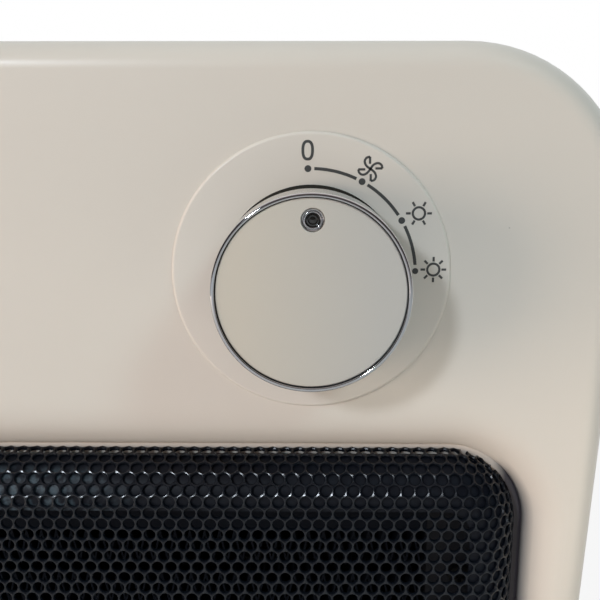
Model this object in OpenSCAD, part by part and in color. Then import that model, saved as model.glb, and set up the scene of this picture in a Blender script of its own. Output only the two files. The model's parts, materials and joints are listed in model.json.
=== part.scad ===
// Wall-mounted ceramic heater. Millimetres, +Z up, +X to the right seen from the room.
// The origin is the centre of the wall bracket's screw pattern, on the wall.
// Depth means the distance from the wall, which is -Y.

/* [Body] */
// Width that the leaning sides would have at the top edge
body_w = 240; // [232:1:260]
// Height of the body
body_h = 262; // [258:1:280]
// Top edge of the body above the bracket's centre
body_top = 112; // [108:1:118]
// Depth of the flat front of the cover
body_d = 112; // [111:0.5:118]
// Lean of each side towards the bottom, in degrees
side_lean = 2.6; // [1.5:0.1:3]
// Radius of the top corners seen from the room
corner_r = 38; // [32:1:44]
// Radius of the bottom corners seen from the room
low_corner_r = 34; // [30:1:38]
// Radius of the rounded front edge
front_edge_r = 6; // [4:0.5:8]
// Radius of the rounded rear edge
rear_edge_r = 4; // [3:0.5:6]
// Wall thickness of the cover and of the rear housing
wall_t = 2.4; // [2:0.1:2.8]
// Air gap between the wall and the rear housing
stand_off = 10; // [9:0.5:12]
// Depth of the seam between the rear housing and the cover
seam_d = 62; // [58:1:66]
// Length of the tongue that centres the cover in the housing
tongue_l = 2.5; // [1.5:0.5:4]

/* [Mouth and grille] */
// Width of the mouth in the cover
mouth_w = 197.2; // [190:0.1:199]
// Height of the mouth in the cover
mouth_h = 146; // [142:1:147]
// Drop from the knob's axis to the top of the mouth
mouth_drop = 42.9; // [41:0.1:45]
// Corner radius of the mouth
mouth_r = 20; // [18:0.5:24]
// Radius where the cover turns into the mouth
mouth_edge_r = 2; // [1:0.5:3]
// Depth of the mouth's recess
recess_d = 9; // [8:0.5:10]
// Width of the ledge that carries the grille
ledge_w = 4.1; // [3.6:0.1:5]
// Thickness of the ledge
ledge_t = 2.4; // [2:0.1:3]
// Gap between the grille and the mouth's wall
grille_gap = 1.7; // [1:0.1:2]
// Height of the domed grille over its ledge
grille_h = 12; // [11:0.5:13]
// Radius of the grille's rolled edge
grille_edge_r = 11; // [9:0.5:11]
// Sheet thickness of the grille
grille_t = 1.2; // [0.8:0.1:1.6]
// Spacing of the grille's openings
cell_pitch = 9.66; // [9.2:0.02:12]
// Width of the bars between the openings
cell_bar = 1.3; // [1:0.1:2]
// Width of a grille tab
tab_w = 7; // [5:0.5:9]
// Length of the tabs behind the ledge
tab_foot = 4; // [2.5:0.5:5]

/* [Knob] */
// Distance from the side line at the top to the knob's axis
knob_side = 73.7; // [70:0.1:78]
// Drop from the top edge to the knob's axis
knob_drop = 50.6; // [48:0.1:54]
// Diameter of the knob
knob_d = 40; // [36:0.5:44]
// Height of the knob over the dial plate
knob_h = 23.6; // [22:0.2:26]
// Gap between the knob and the dial plate
knob_gap = 0.5; // [0.3:0.1:1]
// Wall thickness of the chrome skirt
skirt_t = 1.3; // [1:0.1:1.8]
// Thickness of the knob's cap
cap_t = 2; // [1.6:0.1:2.6]
// Diameter of the dial plate
dial_d = 62.6; // [58:0.2:66]
// Thickness of the dial plate
dial_t = 0.8; // [0.6:0.1:1.2]
// Diameter of the pointer bezel
pointer_d = 4.8; // [4:0.1:6]
// Distance of the pointer from the knob's axis
pointer_r = 14.8; // [12:0.1:15.4]
// Diameter of the knob's hub boss
hub_d = 11; // [10:0.5:13]

/* [Switch] */
// Diameter of the switch shaft
shaft_d = 6; // [5:0.5:6.5]
// Depth of the flat on the shaft
shaft_flat = 0.8; // [0.5:0.1:1]
// Width and height of the switch body
switch_w = 28; // [26:1:32]
// Depth of the switch body
switch_l = 19; // [17:0.5:21]
// Wall thickness of the switch body
switch_t = 1.6; // [1.2:0.1:2]
// Space between the cover's inner face and the switch plate
switch_back = 4; // [3:0.5:5]
// Distance between the two switch screws
switch_screws_w = 36; // [34:1:40]
// Diameter of the rotor in the switch
rotor_d = 18; // [15:0.5:20]

/* [Heating element] */
// Depth of the element's fins
element_l = 16; // [14:0.5:18]
// Number of element rows
rows = 4; // [3:1:4]
// Height of an aluminium tube
tube_h = 8; // [7:0.5:9]
// Wall thickness of an aluminium tube
tube_t = 1; // [0.8:0.1:1.2]
// Thickness of a ceramic stone
stone_t = 4.6; // [4:0.1:5]
// Number of stones in a tube
stones = 6; // [4:1:7]
// Spacing of the fin folds
fold_pitch = 4; // [3.6:0.2:6]
// Sheet thickness of the fins
fin_t = 0.4; // [0.3:0.1:0.6]
// Width of the end caps
cap_w = 12; // [10:0.5:13]
// Thickness of the top and bottom rails
rail_t = 2; // [1.5:0.1:2.5]

/* [Fan] */
// Radius of the round opening in the fan duct
duct_r = 56; // [54:0.5:58]
// Depth of the duct ring's rear edge
duct_rear = 44; // [43:0.5:46]
// Depth of the duct's front plate, rear face
plate_d = 66; // [65.5:0.5:68]
// Wall thickness of the duct
duct_t = 2.4; // [2:0.1:3]
// Gap between the impeller and the duct ring
tip_gap = 2.5; // [1.5:0.1:3]
// Number of impeller blades
blades = 7; // [5:1:9]
// Pitch of the blades in degrees
blade_pitch = 50; // [40:1:55]
// Radius of the impeller's hub
impeller_hub_r = 16; // [14:0.5:18]
// Depth taken by the impeller
impeller_l = 15; // [12:0.5:16]
// Diameter of the motor shaft
motor_shaft_d = 4; // [3.5:0.1:4.5]
// Width of the stator
stator_w = 58; // [54:1:62]
// Height of the stator
stator_h = 50; // [48:1:54]
// Thickness of the stator's stack
stator_l = 13; // [11:0.5:14]
// Diameter of the motor rotor
motor_rotor_d = 21; // [19:0.5:22]
// Air gap between rotor and stator
air_gap = 0.4; // [0.3:0.05:0.6]

/* [Bracket] */
// Width of the bracket
bracket_w = 150; // [146:1:170]
// Height of the bracket
bracket_h = 80; // [76:1:84]
// Sheet thickness of the bracket
bracket_t = 1.6; // [1.2:0.1:2]
// Screw spacing across
wall_screw_w = 120; // [116:1:122]
// Screw spacing up
wall_screw_h = 56; // [52:1:58]
// Diameter of the wall screw holes
wall_hole_d = 5; // [4:0.1:6]
// Distance between the two hooks
hook_w = 80; // [70:1:84]
// Width of a hook
hook_tongue_w = 16; // [12:1:18]
// Height of a hook's lip
hook_lip = 7; // [6:0.5:7]
// Height of the hooks' upper face
hook_z = 32; // [30:0.5:33]

/* [Cord inlet] */
// Diameter of the bore in the inlet grommet
inlet_d = 7.2; // [6:0.1:8]
// Distance of the inlet from the middle
inlet_x = 60; // [50:1:62]
// Depth of the inlet's axis
inlet_depth = 34; // [30:1:38]

/* [Hidden] */
$fn = 64;

// Clearances and fits
run_fit = 0.05;   // radial play of a turning shaft, and of a screw in its pilot hole
seat_gap = 0.3;   // play between separate pieces that seat in each other
slip = 0.2;       // play round a piece that is pushed through a slot
cut = 1;          // how far a cut runs past a face
weld = 0.5;       // how far one feature of a solid sinks into the next
thin = 0.02;      // thickness of a layer that only guides a rounded form

// Outline
arc_steps = 12;
edge_steps = 6;
body_bottom = body_top - body_h;
top_arc_z = body_top - corner_r;
top_arc_x = side_x(top_arc_z) - corner_r / cos(side_lean);
low_arc_z = body_bottom + low_corner_r;
low_arc_x = side_x(low_arc_z) - low_corner_r / cos(side_lean);

// Knob and mouth
knob_x = body_w / 2 - knob_side;
knob_z = body_top - knob_drop;
dial_top = body_d + dial_t;
knob_base = dial_top + knob_gap;
knob_top = dial_top + knob_h;
cap_back = knob_top - cap_t;
web_t = 2.4;
rim_in = knob_d / 2 - skirt_t;
shaft_hole_r = hub_d / 2 + 1;
mouth_top = knob_z - mouth_drop;
mouth_z = mouth_top - mouth_h / 2;
ledge_top = body_d - recess_d;
ledge_back = ledge_top - ledge_t;
throat_w = mouth_w - 2 * ledge_w;
throat_h = mouth_h - 2 * ledge_w;
grille_w = mouth_w - 2 * grille_gap;
grille_hh = mouth_h - 2 * grille_gap;
grille_r = mouth_r - grille_gap;
grille_top = ledge_top + grille_h;
tab_t = grille_t;
tab_x = [-60, -20, 20, 60];
tab_z = [-40, 0, 40];
tab_out = grille_w / 2 - 0.2;
tab_up = grille_hh / 2 - 0.2;

// Housing screws
boss_r = 4.4;
boss_inset = wall_t + boss_r + 1.6;
boss_top_x = top_arc_x + (corner_r - boss_inset) * sin(45);
boss_top_z = top_arc_z + (corner_r - boss_inset) * cos(45);
boss_low_x = low_arc_x + (low_corner_r - boss_inset) * sin(45);
boss_low_z = low_arc_z - (low_corner_r - boss_inset) * cos(45);
boss_places = [
    [boss_top_x, boss_top_z], [-boss_top_x, boss_top_z],
    [boss_low_x, boss_low_z], [-boss_low_x, boss_low_z]
];
screw_r = 1.6;
screw_head_r = 3;
screw_head_h = 2.2;
screw_hold = 14;
head_seat = seam_d - 10;

// Switch
switch_front = body_d - wall_t - switch_back;
switch_plate_t = 1.2;
switch_body_front = switch_front - switch_plate_t;
switch_body_back = switch_body_front - switch_l;
rotor_back = switch_body_back + switch_t + 3;
rotor_front = switch_body_front - 1.5;
pivot_r = shaft_d / 2 - 1;
small_screw_r = 1.2;
small_head_r = 2.2;
small_head_h = 1.6;
shaft_end = cap_back - web_t - 4;

shaft_flat_from = knob_base + 3;
flat_z = shaft_d / 2 - shaft_flat;
contact_x = 8;
contact_w = 5;
contact_t = 0.8;
contact_l = 8;
contact_tip = switch_body_back - contact_l;

// Terminal block, buffers and inlet
block_x = 48 - body_w / 2;
block_z = 50;
block_w = 30;
block_h = 16;
block_l = 12;
pole_w = 6;
block_screw_w = 23;
block_seat = stand_off + wall_t + 4;
block_top = block_seat + block_l;
block_mid = block_seat + block_l / 2;
buffer_x = body_w / 2 - 54;
buffer_z = [body_top - 30, body_bottom + 30];
buffer_r = 7;
buffer_stem_r = 2.5;
grommet_r = 7;
inlet_cut = 10;
lead_d = 2.2;
lead_near = plate_d - 4;
lead_far = plate_d - 8;
duct_screw_hold = 12;
tab_reach = 14;
tab_rise = 7;

// Fan duct and element
collar_gap = 2.4;
collar_w = throat_w - 2 * collar_gap;
collar_h = throat_h - 2 * collar_gap;
collar_front = ledge_back - 0.6;
sensor_d = (plate_d + collar_front) / 2;
plate_front = plate_d + duct_t;
element_back = plate_front + 7.6;
element_front = element_back + element_l;
element_w = collar_w - 2 * duct_t - 2 * seat_gap;
element_h = collar_h - 2 * duct_t - 2 * seat_gap;
row_gap = 1.5;
row_h = (element_h - 2 * rail_t - (rows + 1) * 0.1 - (rows - 1) * row_gap) / rows;
fin_h = (row_h - tube_h) / 2 - 0.1;
tube_l = element_w - 2 * cap_w + 2 * 3;
fin_l = element_w - 2 * cap_w - 2;
row_z = [for (j = [0 : rows - 1]) mouth_z + (j - (rows - 1) / 2) * (row_h + row_gap)];
collar_r = duct_t + 0.6;
collar_top = mouth_z + collar_h / 2;
cap_over = 1.5;
element_screw_x = element_w / 2 - 3.4;
element_screw_z = (row_h + row_gap) * (rows - 2) / 2;
post_x = collar_w / 2 - duct_t - 6;
post_z = collar_h / 2 - duct_t - 6;
post_r = 4;
strip_t = (tube_h - 2 * tube_t - stone_t) / 2 - 0.2;
strip_z = (stone_t + strip_t + 0.1) / 2;
strip_x = -tube_l / 2 - 6;
blade_w = 5;
cutout_x = -30;
fuse_x = 14;
shield_h = 20;

// Fan and motor
spider_r = 26;
spider_t = 3;
impeller_back = duct_rear + spider_t + 1;
impeller_front = impeller_back + impeller_l;
nut_l = 3;
bearing_l = 6;
bush_r = 4.5;
bracket_plate_t = 3;
motor_arm = 20;
rear_bracket_d = stand_off + wall_t + 3.5;
motor_mid = (rear_bracket_d + duct_rear) / 2;
stator_back = motor_mid - stator_l / 2;
stator_front = motor_mid + stator_l / 2;
stator_top = 17;
leg_h = 10;
window_w = 30;
window_h = 9;
leg_top = stator_top - stator_h + leg_h;
lead_hole_x = 16 - collar_w / 2;
lead_hole_z = collar_top - 6;

function side_x(z) = body_w / 2 - (body_top - z) * tan(side_lean);

// Points of an arc. Angles run clockwise from straight up.
function arc_points(x, z, r, from, to) = [
    for (i = [0 : arc_steps])
        let (a = from + (to - from) * i / arc_steps) [x + r * sin(a), z + r * cos(a)]
];

// Outline of the body seen from the room, moved inwards by inset
function body_points(inset) = concat(
    arc_points(top_arc_x, top_arc_z, corner_r - inset, 0, 90 + side_lean),
    arc_points(low_arc_x, low_arc_z, low_corner_r - inset, 90 + side_lean, 180),
    arc_points(-low_arc_x, low_arc_z, low_corner_r - inset, 180, 270 - side_lean),
    arc_points(-top_arc_x, top_arc_z, corner_r - inset, 270 - side_lean, 360)
);

// Rounded rectangle about the mouth's centre
function frame_points(w, h, r) = concat(
    arc_points(w / 2 - r, mouth_z + h / 2 - r, r, 0, 90),
    arc_points(w / 2 - r, mouth_z - h / 2 + r, r, 90, 180),
    arc_points(-w / 2 + r, mouth_z - h / 2 + r, r, 180, 270),
    arc_points(-w / 2 + r, mouth_z + h / 2 - r, r, 270, 360)
);

// A flat outline drawn in X and Z, made solid between two depths
module slab(from, to) {
    translate([0, -from, 0]) rotate([90, 0, 0]) linear_extrude(to - from) children();
}

// A round bar or bore along the depth
module rod(x, z, from, to, r) {
    translate([x, -from, z]) rotate([90, 0, 0]) cylinder(r = r, h = to - from);
}

// A box between two depths, centred on x and z
module block(x, z, w, h, from, to) {
    translate([x - w / 2, -to, z - h / 2]) cube([w, to - from, h]);
}

// The body's form with a rounded edge at its far end
module rounded_form(inset, from, to, edge_r) {
    away = to > from ? 1 : -1;
    start = to - away * edge_r;
    hull() {
        slab(min(from, start), max(from, start)) polygon(body_points(inset));
        for (i = [1 : edge_steps])
            let (a = 90 * i / edge_steps, end = to - away * edge_r * (1 - sin(a)))
                slab(min(end, end - away * thin), max(end, end - away * thin))
                    polygon(body_points(inset + edge_r * (1 - cos(a))));
    }
}

// Domed form of the grille
module dome_form(inset, lift) {
    r = grille_edge_r - inset;
    start = grille_top - grille_edge_r;
    hull() {
        slab(ledge_top - lift, start)
            polygon(frame_points(grille_w - 2 * inset, grille_hh - 2 * inset, grille_r - inset));
        for (i = [1 : edge_steps])
            let (a = 90 * i / edge_steps, step = inset + r * (1 - cos(a)), end = start + r * sin(a))
                slab(end - thin, end)
                    polygon(frame_points(grille_w - 2 * step, grille_hh - 2 * step, grille_r - step));
    }
}

// Screw along the depth with its head towards the room or towards the wall
module screw(x, z, seat, tip, r, head_r, head_h) {
    out = tip > seat ? -1 : 1;
    slot_w = 0.8;
    slot_l = head_r * 1.2;
    difference() {
        union() {
            rod(x, z, min(seat, tip), max(seat, tip), r);
            rod(x, z, min(seat, seat + out * head_h), max(seat, seat + out * head_h), head_r);
        }
        for (turn = [0, 90])
            translate([x, -(seat + out * head_h), z]) rotate([0, turn, 0])
                cube([slot_l, head_h, slot_w], center = true);
    }
}

// Lead that follows its points with rounded bends
function unit(v) = v / norm(v);
function bend(a, b, c, t) = (1 - t) * (1 - t) * a + 2 * t * (1 - t) * b + t * t * c;
function route(p, steps) = concat(
    [p[0]],
    [for (i = [1 : len(p) - 2]) for (k = [0 : steps])
        bend(p[i] + unit(p[i - 1] - p[i]) * bend_r(p, i), p[i],
            p[i] + unit(p[i + 1] - p[i]) * bend_r(p, i), k / steps)],
    [p[len(p) - 1]]
);
function bend_r(p, i) = min(8, 0.4 * norm(p[i] - p[i - 1]), 0.4 * norm(p[i + 1] - p[i]));
module lead(p, d) {
    sides = 8;
    path = route(p, 4);
    n = len(path);
    tangents = [for (i = [0 : n - 1]) unit(path[min(i + 1, n - 1)] - path[max(i - 1, 0)])];
    across = [for (t = tangents) unit(cross(t, [0.31, 0.52, 0.79]))];
    points = [
        for (i = [0 : n - 1]) for (s = [0 : sides - 1])
            let (a = 360 * s / sides, up = cross(tangents[i], across[i]))
                path[i] + d / 2 * (cos(a) * across[i] + sin(a) * up)
    ];
    walls = [
        for (i = [0 : n - 2]) for (s = [0 : sides - 1])
            let (a = i * sides + s, b = i * sides + (s + 1) % sides) each
                [[a, b, b + sides], [a, b + sides, a + sides]]
    ];
    ends = [
        for (s = [1 : sides - 2]) [0, s + 1, s],
        for (s = [1 : sides - 2]) let (e = (n - 1) * sides) [e, e + s, e + s + 1]
    ];
    polyhedron(points, [for (f = concat(walls, ends)) [f[0], f[2], f[1]]]);
}

module wall_bracket() {
    arm_t = 2;
    lip_t = 1.6;
    arm_end = stand_off + wall_t + 0.4 + lip_t;
    color([0.72, 0.73, 0.74]) difference() {
        union() {
            block(0, 0, bracket_w, bracket_h, 0, bracket_t);
            // stiffening flanges
            block(0, bracket_h / 2 - bracket_t / 2, bracket_w, bracket_t, 0, 6);
            block(0, -bracket_h / 2 + bracket_t / 2, bracket_w, bracket_t, 0, 6);
            for (s = [-1, 1]) {
                block(s * hook_w / 2, hook_z - arm_t / 2, hook_tongue_w, arm_t, 0, arm_end);
                block(s * hook_w / 2, hook_z + hook_lip / 2 - arm_t / 2,
                    hook_tongue_w, hook_lip + arm_t, arm_end - lip_t, arm_end);
            }
        }
        for (sx = [-1, 1]) for (sz = [-1, 1])
            rod(sx * wall_screw_w / 2, sz * wall_screw_h / 2, -cut, bracket_t + cut, wall_hole_d / 2);
        // windows that the hooks were bent out of
        for (s = [-1, 1])
            block(s * hook_w / 2, hook_z - 14, hook_tongue_w, 22, -cut, bracket_t + cut);
    }
}

module rear_housing() {
    slot_h = hook_lip + 2 + 2;
    color([0.82, 0.79, 0.73]) difference() {
        union() {
            difference() {
                rounded_form(0, seam_d, stand_off, rear_edge_r);
                slab(stand_off + wall_t, seam_d + cut) polygon(body_points(wall_t));
            }
            for (p = boss_places) rod(p[0], p[1], stand_off + weld, seam_d, boss_r);
            for (sx = [-1, 1]) for (sz = [-1, 1])
                rod(sx * post_x, mouth_z + sz * post_z, stand_off + weld, plate_d, post_r);
            // seats of the terminal block
            for (s = [-1, 1]) rod(block_x + s * block_screw_w / 2, block_z, stand_off + weld, block_seat, 3);
            // saddle of the cord inlet
            block(inlet_x, body_bottom + wall_t + 1, 24, 4, inlet_depth - 12, inlet_depth + 12);
        }
        // groove for the cover's tongue
        difference() {
            slab(seam_d - tongue_l - seat_gap, seam_d + cut) polygon(body_points(wall_t / 2));
            slab(seam_d - tongue_l - cut, seam_d + 2 * cut) polygon(body_points(wall_t + 1));
        }
        for (p = boss_places) {
            rod(p[0], p[1], stand_off - cut, head_seat, screw_head_r + seat_gap);
            rod(p[0], p[1], head_seat - cut, seam_d + cut, screw_r + seat_gap);
        }
        for (sx = [-1, 1]) for (sz = [-1, 1])
            rod(sx * post_x, mouth_z + sz * post_z, plate_d - 14, plate_d + cut, screw_r + run_fit);
        for (s = [-1, 1]) {
            block(s * hook_w / 2, hook_z + seat_gap - slot_h / 2, hook_tongue_w + 2, slot_h,
                stand_off - cut, stand_off + wall_t + cut);
            rod(block_x + s * block_screw_w / 2, block_z, stand_off + wall_t, block_seat + cut,
                small_screw_r + run_fit);
        }
        // rear air intake
        for (i = [-7 : 7])
            let (w = 2 * sqrt(pow(duct_r - 2, 2) - pow(i * 7, 2)))
                block(0, mouth_z + i * 7, w, 3, stand_off - cut, stand_off + wall_t + cut);
        // side air intakes
        for (i = [-6 : 6]) for (s = [-1, 1])
            block(s * (side_x(mouth_z + i * 8) - 1), mouth_z + i * 8, 10, 3, stand_off + 10, seam_d - 14);
        // seats of the rubber buffers
        for (sx = [-1, 1]) for (z = buffer_z)
            rod(sx * buffer_x, z, stand_off - cut, stand_off + wall_t + cut, buffer_stem_r + 0.1);
        // cord inlet
        translate([inlet_x, -inlet_depth, body_bottom - cut])
            cylinder(r = grommet_r + 0.1, h = inlet_cut + cut);
    }
}

module rubber_buffers() {
    color([0.12, 0.12, 0.12])
        for (sx = [-1, 1]) for (z = buffer_z)
            union() {
                rod(sx * buffer_x, z, 0.5, stand_off, buffer_r);
                rod(sx * buffer_x, z, stand_off - weld, stand_off + wall_t + 0.2, buffer_stem_r);
                rod(sx * buffer_x, z, stand_off + wall_t + 0.2, stand_off + wall_t + 2, buffer_stem_r + 1);
            }
}

module housing_screws() {
    color([0.7, 0.7, 0.72])
        for (p = boss_places)
            screw(p[0], p[1], head_seat, seam_d + screw_hold, screw_r, screw_head_r, screw_head_h);
}

module front_cover() {
    flare_steps = 3;
    color([0.88, 0.85, 0.78]) difference() {
        union() {
            difference() {
                rounded_form(0, seam_d, body_d, front_edge_r);
                rounded_form(wall_t, seam_d - cut, body_d - wall_t, front_edge_r - wall_t);
            }
            // tongue
            difference() {
                slab(seam_d - tongue_l, seam_d + weld) polygon(body_points(wall_t / 2 + 0.1));
                slab(seam_d - tongue_l - cut, seam_d + weld + cut) polygon(body_points(wall_t));
            }
            // wall and ledge of the mouth
            slab(ledge_back, body_d - wall_t / 2)
                polygon(frame_points(mouth_w + 2 * wall_t, mouth_h + 2 * wall_t, mouth_r + wall_t));
            for (p = boss_places) rod(p[0], p[1], seam_d, body_d - wall_t / 2, boss_r);
            for (s = [-1, 1])
                rod(knob_x + s * switch_screws_w / 2, knob_z, switch_front, body_d - wall_t / 2, 3.2);
        }
        slab(ledge_top, body_d + cut) polygon(frame_points(mouth_w, mouth_h, mouth_r));
        slab(ledge_back - cut, ledge_top + cut) polygon(frame_points(throat_w, throat_h, mouth_r - ledge_w));
        // rounded front edge of the mouth
        for (i = [0 : flare_steps - 1])
            hull() for (k = [i, i + 1])
                let (a = 90 * k / flare_steps, out = mouth_edge_r * (1 - sin(a)),
                    d = body_d - mouth_edge_r * (1 - cos(a)))
                    slab(d - thin, d + (k == 0 ? cut : thin))
                        polygon(frame_points(mouth_w + 2 * out, mouth_h + 2 * out, mouth_r + out));
        for (p = boss_places) rod(p[0], p[1], seam_d - cut, seam_d + screw_hold + 2, screw_r + run_fit);
        for (s = [-1, 1])
            rod(knob_x + s * switch_screws_w / 2, knob_z, switch_front - cut, body_d - wall_t,
                small_screw_r + run_fit);
        rod(knob_x, knob_z, switch_front, body_d + cut, shaft_hole_r);
        grille_tabs(slip);
    }
}

// Tabs of the grille, or with play the slots for them
module grille_tabs(play) {
    back = ledge_back - tab_t - 0.1 - play;
    for (x = tab_x) for (s = [-1, 1])
        block(x, mouth_z + s * (tab_up - tab_t / 2), tab_w + 2 * play, tab_t + 2 * play, back,
            ledge_top + weld);
    for (z = tab_z) for (s = [-1, 1])
        block(s * (tab_out - tab_t / 2), mouth_z + z, tab_t + 2 * play, tab_w + 2 * play, back,
            ledge_top + weld);
}

module outlet_grille() {
    cell_r = (cell_pitch - cell_bar) / sqrt(3);
    flat_x = grille_w / 2 - grille_edge_r;
    flat_z = grille_hh / 2 - grille_edge_r;
    row_pitch = cell_pitch * sqrt(3) / 2;
    nx = ceil(flat_x / cell_pitch);
    nz = ceil(flat_z / row_pitch);
    color([0.05, 0.05, 0.06]) difference() {
        union() {
            difference() {
                dome_form(0, 0);
                dome_form(grille_t, cut);
            }
            grille_tabs(0);
            // feet bent over behind the ledge
            for (x = tab_x) for (s = [-1, 1])
                block(x, mouth_z + s * (tab_up + tab_foot / 2 - tab_t / 2), tab_w, tab_foot + tab_t,
                    ledge_back - tab_t - 0.1, ledge_back - 0.1);
            for (z = tab_z) for (s = [-1, 1])
                block(s * (tab_out + tab_foot / 2 - tab_t / 2), mouth_z + z, tab_foot + tab_t, tab_w,
                    ledge_back - tab_t - 0.1, ledge_back - 0.1);
        }
        for (j = [-nz : nz]) for (i = [-nx : nx])
            let (x = (i + (j % 2 == 0 ? 0 : 0.5)) * cell_pitch, z = j * row_pitch)
                if (abs(x) < flat_x - cell_r && abs(z) < flat_z - cell_r)
                    translate([x, -(grille_top - grille_t - cut), mouth_z + z]) rotate([90, 30, 0])
                        cylinder(r = cell_r, h = grille_t + 2 * cut, $fn = 6);
    }
}

module dial_plate() {
    bevel = dial_t / 2;
    color([0.9, 0.87, 0.8])
        translate([knob_x, -body_d, knob_z]) rotate([90, 0, 0]) rotate_extrude()
            polygon([
                [shaft_hole_r, 0], [dial_d / 2, 0], [dial_d / 2, dial_t - bevel],
                [dial_d / 2 - bevel, dial_t], [shaft_hole_r, dial_t]
            ]);
}

module knob_skirt() {
    rim_r = 0.9;
    lip = 0.6;
    color([0.8, 0.81, 0.83])
        translate([knob_x, -knob_base, knob_z]) rotate([90, 0, 0]) rotate_extrude()
            let (l = knob_top - knob_base, r = knob_d / 2)
                polygon(concat(
                    [[r - skirt_t, 0], [r, 0]],
                    [for (i = [0 : 6]) let (a = 15 * i)
                        [r - rim_r * (1 - cos(a)), l - rim_r * (1 - sin(a))]],
                    [[r - skirt_t - lip, l], [r - skirt_t - lip, l - cap_t + 0.8]],
                    [[r - skirt_t, l - cap_t + 0.8]]
                ));
}

module knob_cap() {
    lip = 0.6;
    color([0.8, 0.78, 0.73]) difference() {
        union() {
            rod(knob_x, knob_z, cap_back, knob_top - 1.4, rim_in - 0.1);
            rod(knob_x, knob_z, cap_back, knob_top - 0.3, rim_in - lip - 0.1);
        }
        rod(knob_x, knob_z + pointer_r, cap_back - cut, knob_top + cut, pointer_d / 2 + run_fit);
    }
}

module pointer_bezel() {
    color([0.8, 0.81, 0.83])
        translate([knob_x, -cap_back, knob_z + pointer_r]) rotate([90, 0, 0]) rotate_extrude()
            let (r = pointer_d / 2, w = 0.8, l = cap_t - 0.1)
                polygon([
                    [r - w, 0], [r, 0], [r, l - 0.3],
                    [r - 0.25, l], [r - w + 0.25, l], [r - w, l - 0.3]
                ]);
}

module pointer_insert() {
    color([0.1, 0.1, 0.1])
        rod(knob_x, knob_z + pointer_r, cap_back, cap_back + 0.7, pointer_d / 2 - 0.8 - run_fit);
}

module knob_hub() {
    web_back = cap_back - web_t;
    color([0.75, 0.73, 0.68]) difference() {
        union() {
            rod(knob_x, knob_z, web_back, cap_back, rim_in - run_fit);
            rod(knob_x, knob_z, knob_base + 1, cap_back - weld, hub_d / 2);
            // ring that the skirt is pushed over
            difference() {
                rod(knob_x, knob_z, web_back - 8, web_back + weld, rim_in - run_fit);
                rod(knob_x, knob_z, web_back - 9, web_back + weld + cut, rim_in - 1.8);
            }
            for (turn = [0 : 60 : 300])
                translate([knob_x, 0, knob_z]) rotate([0, turn, 0])
                    translate([hub_d / 2 - weld, -(web_back + weld), -0.6])
                        cube([rim_in - hub_d / 2 - 1, 6, 1.2]);
        }
        difference() {
            rod(knob_x, knob_z, knob_base, shaft_end + 0.3, shaft_d / 2 + run_fit);
            block(knob_x, knob_z - flat_z - run_fit - shaft_d / 2, 2 * shaft_d, shaft_d,
                shaft_flat_from, shaft_end + cut);
        }
    }
}

module knob_clip() {
    color([0.6, 0.6, 0.62]) difference() {
        rod(knob_x, knob_z, knob_base + 2, knob_base + 5, hub_d / 2 + 0.85);
        rod(knob_x, knob_z, knob_base + 2 - cut, knob_base + 5 + cut, hub_d / 2 + run_fit);
        block(knob_x + hub_d / 2, knob_z, hub_d / 2, 2, knob_base, knob_base + 6);
    }
}

module switch_shaft() {
    color([0.78, 0.78, 0.8]) difference() {
        union() {
            rod(knob_x, knob_z, switch_body_back + 0.6, rotor_back + weld, pivot_r);
            rod(knob_x, knob_z, rotor_back, shaft_end, shaft_d / 2);
        }
        block(knob_x, knob_z - flat_z - shaft_d / 2, 2 * shaft_d, shaft_d, shaft_flat_from, shaft_end + cut);
    }
}

module switch_rotor() {
    notch_r = 1;
    color([0.85, 0.82, 0.7]) difference() {
        rod(knob_x, knob_z, rotor_back, rotor_front, rotor_d / 2);
        rod(knob_x, knob_z, rotor_back - cut, rotor_front + cut, shaft_d / 2 + run_fit);
        for (turn = [0 : 30 : 330])
            rod(knob_x + rotor_d / 2 * sin(turn), knob_z + rotor_d / 2 * cos(turn),
                rotor_back + 2, rotor_front + cut, notch_r);
    }
}

module detent_leaf() {
    leaf_t = 0.4;
    color([0.7, 0.7, 0.72])
        block(knob_x, knob_z + rotor_d / 2 + 0.6, switch_w - 2 * switch_t - 0.4, leaf_t,
            rotor_back + 3, rotor_back + 8);
}

module switch_body() {
    color([0.15, 0.15, 0.16]) difference() {
        union() {
            difference() {
                block(knob_x, knob_z, switch_w, switch_w, switch_body_back, switch_body_front);
                block(knob_x, knob_z, switch_w - 2 * switch_t, switch_w - 2 * switch_t,
                    switch_body_back + switch_t, switch_body_front + cut);
            }
            rod(knob_x, knob_z, switch_body_back, rotor_back - 0.4, pivot_r + 1.6);
        }
        rod(knob_x, knob_z, switch_body_back + 0.4, rotor_back, pivot_r + run_fit);
        switch_blades(0.1, switch_body_back - cut, switch_body_back + switch_t + cut);
    }
}

// Contact blades of the switch, or with play the slots for them
module switch_blades(play, from, to) {
    for (sx = [-1, 1]) for (sz = [-1, 1])
        block(knob_x + sx * contact_x, knob_z + sz * contact_x, contact_t + 2 * play, contact_w + 2 * play,
            from, to);
}

module switch_plate() {
    color([0.72, 0.73, 0.74]) difference() {
        union() {
            block(knob_x, knob_z, switch_w, switch_w, switch_body_front, switch_front);
            block(knob_x, knob_z, switch_screws_w + 8, 10, switch_body_front, switch_front);
        }
        rod(knob_x, knob_z, switch_body_front - cut, switch_front + cut, shaft_d / 2 + run_fit);
        for (s = [-1, 1])
            rod(knob_x + s * switch_screws_w / 2, knob_z, switch_body_front - cut, switch_front + cut,
                small_screw_r + slip);
    }
}

module switch_contacts() {
    color([0.8, 0.65, 0.3])
        switch_blades(0, switch_body_back - contact_l, switch_body_back + switch_t + 2);
}

module switch_screws() {
    color([0.7, 0.7, 0.72])
        for (s = [-1, 1])
            screw(knob_x + s * switch_screws_w / 2, knob_z, switch_body_front,
                switch_front + switch_back - 0.6, small_screw_r, small_head_r, small_head_h);
}

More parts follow.
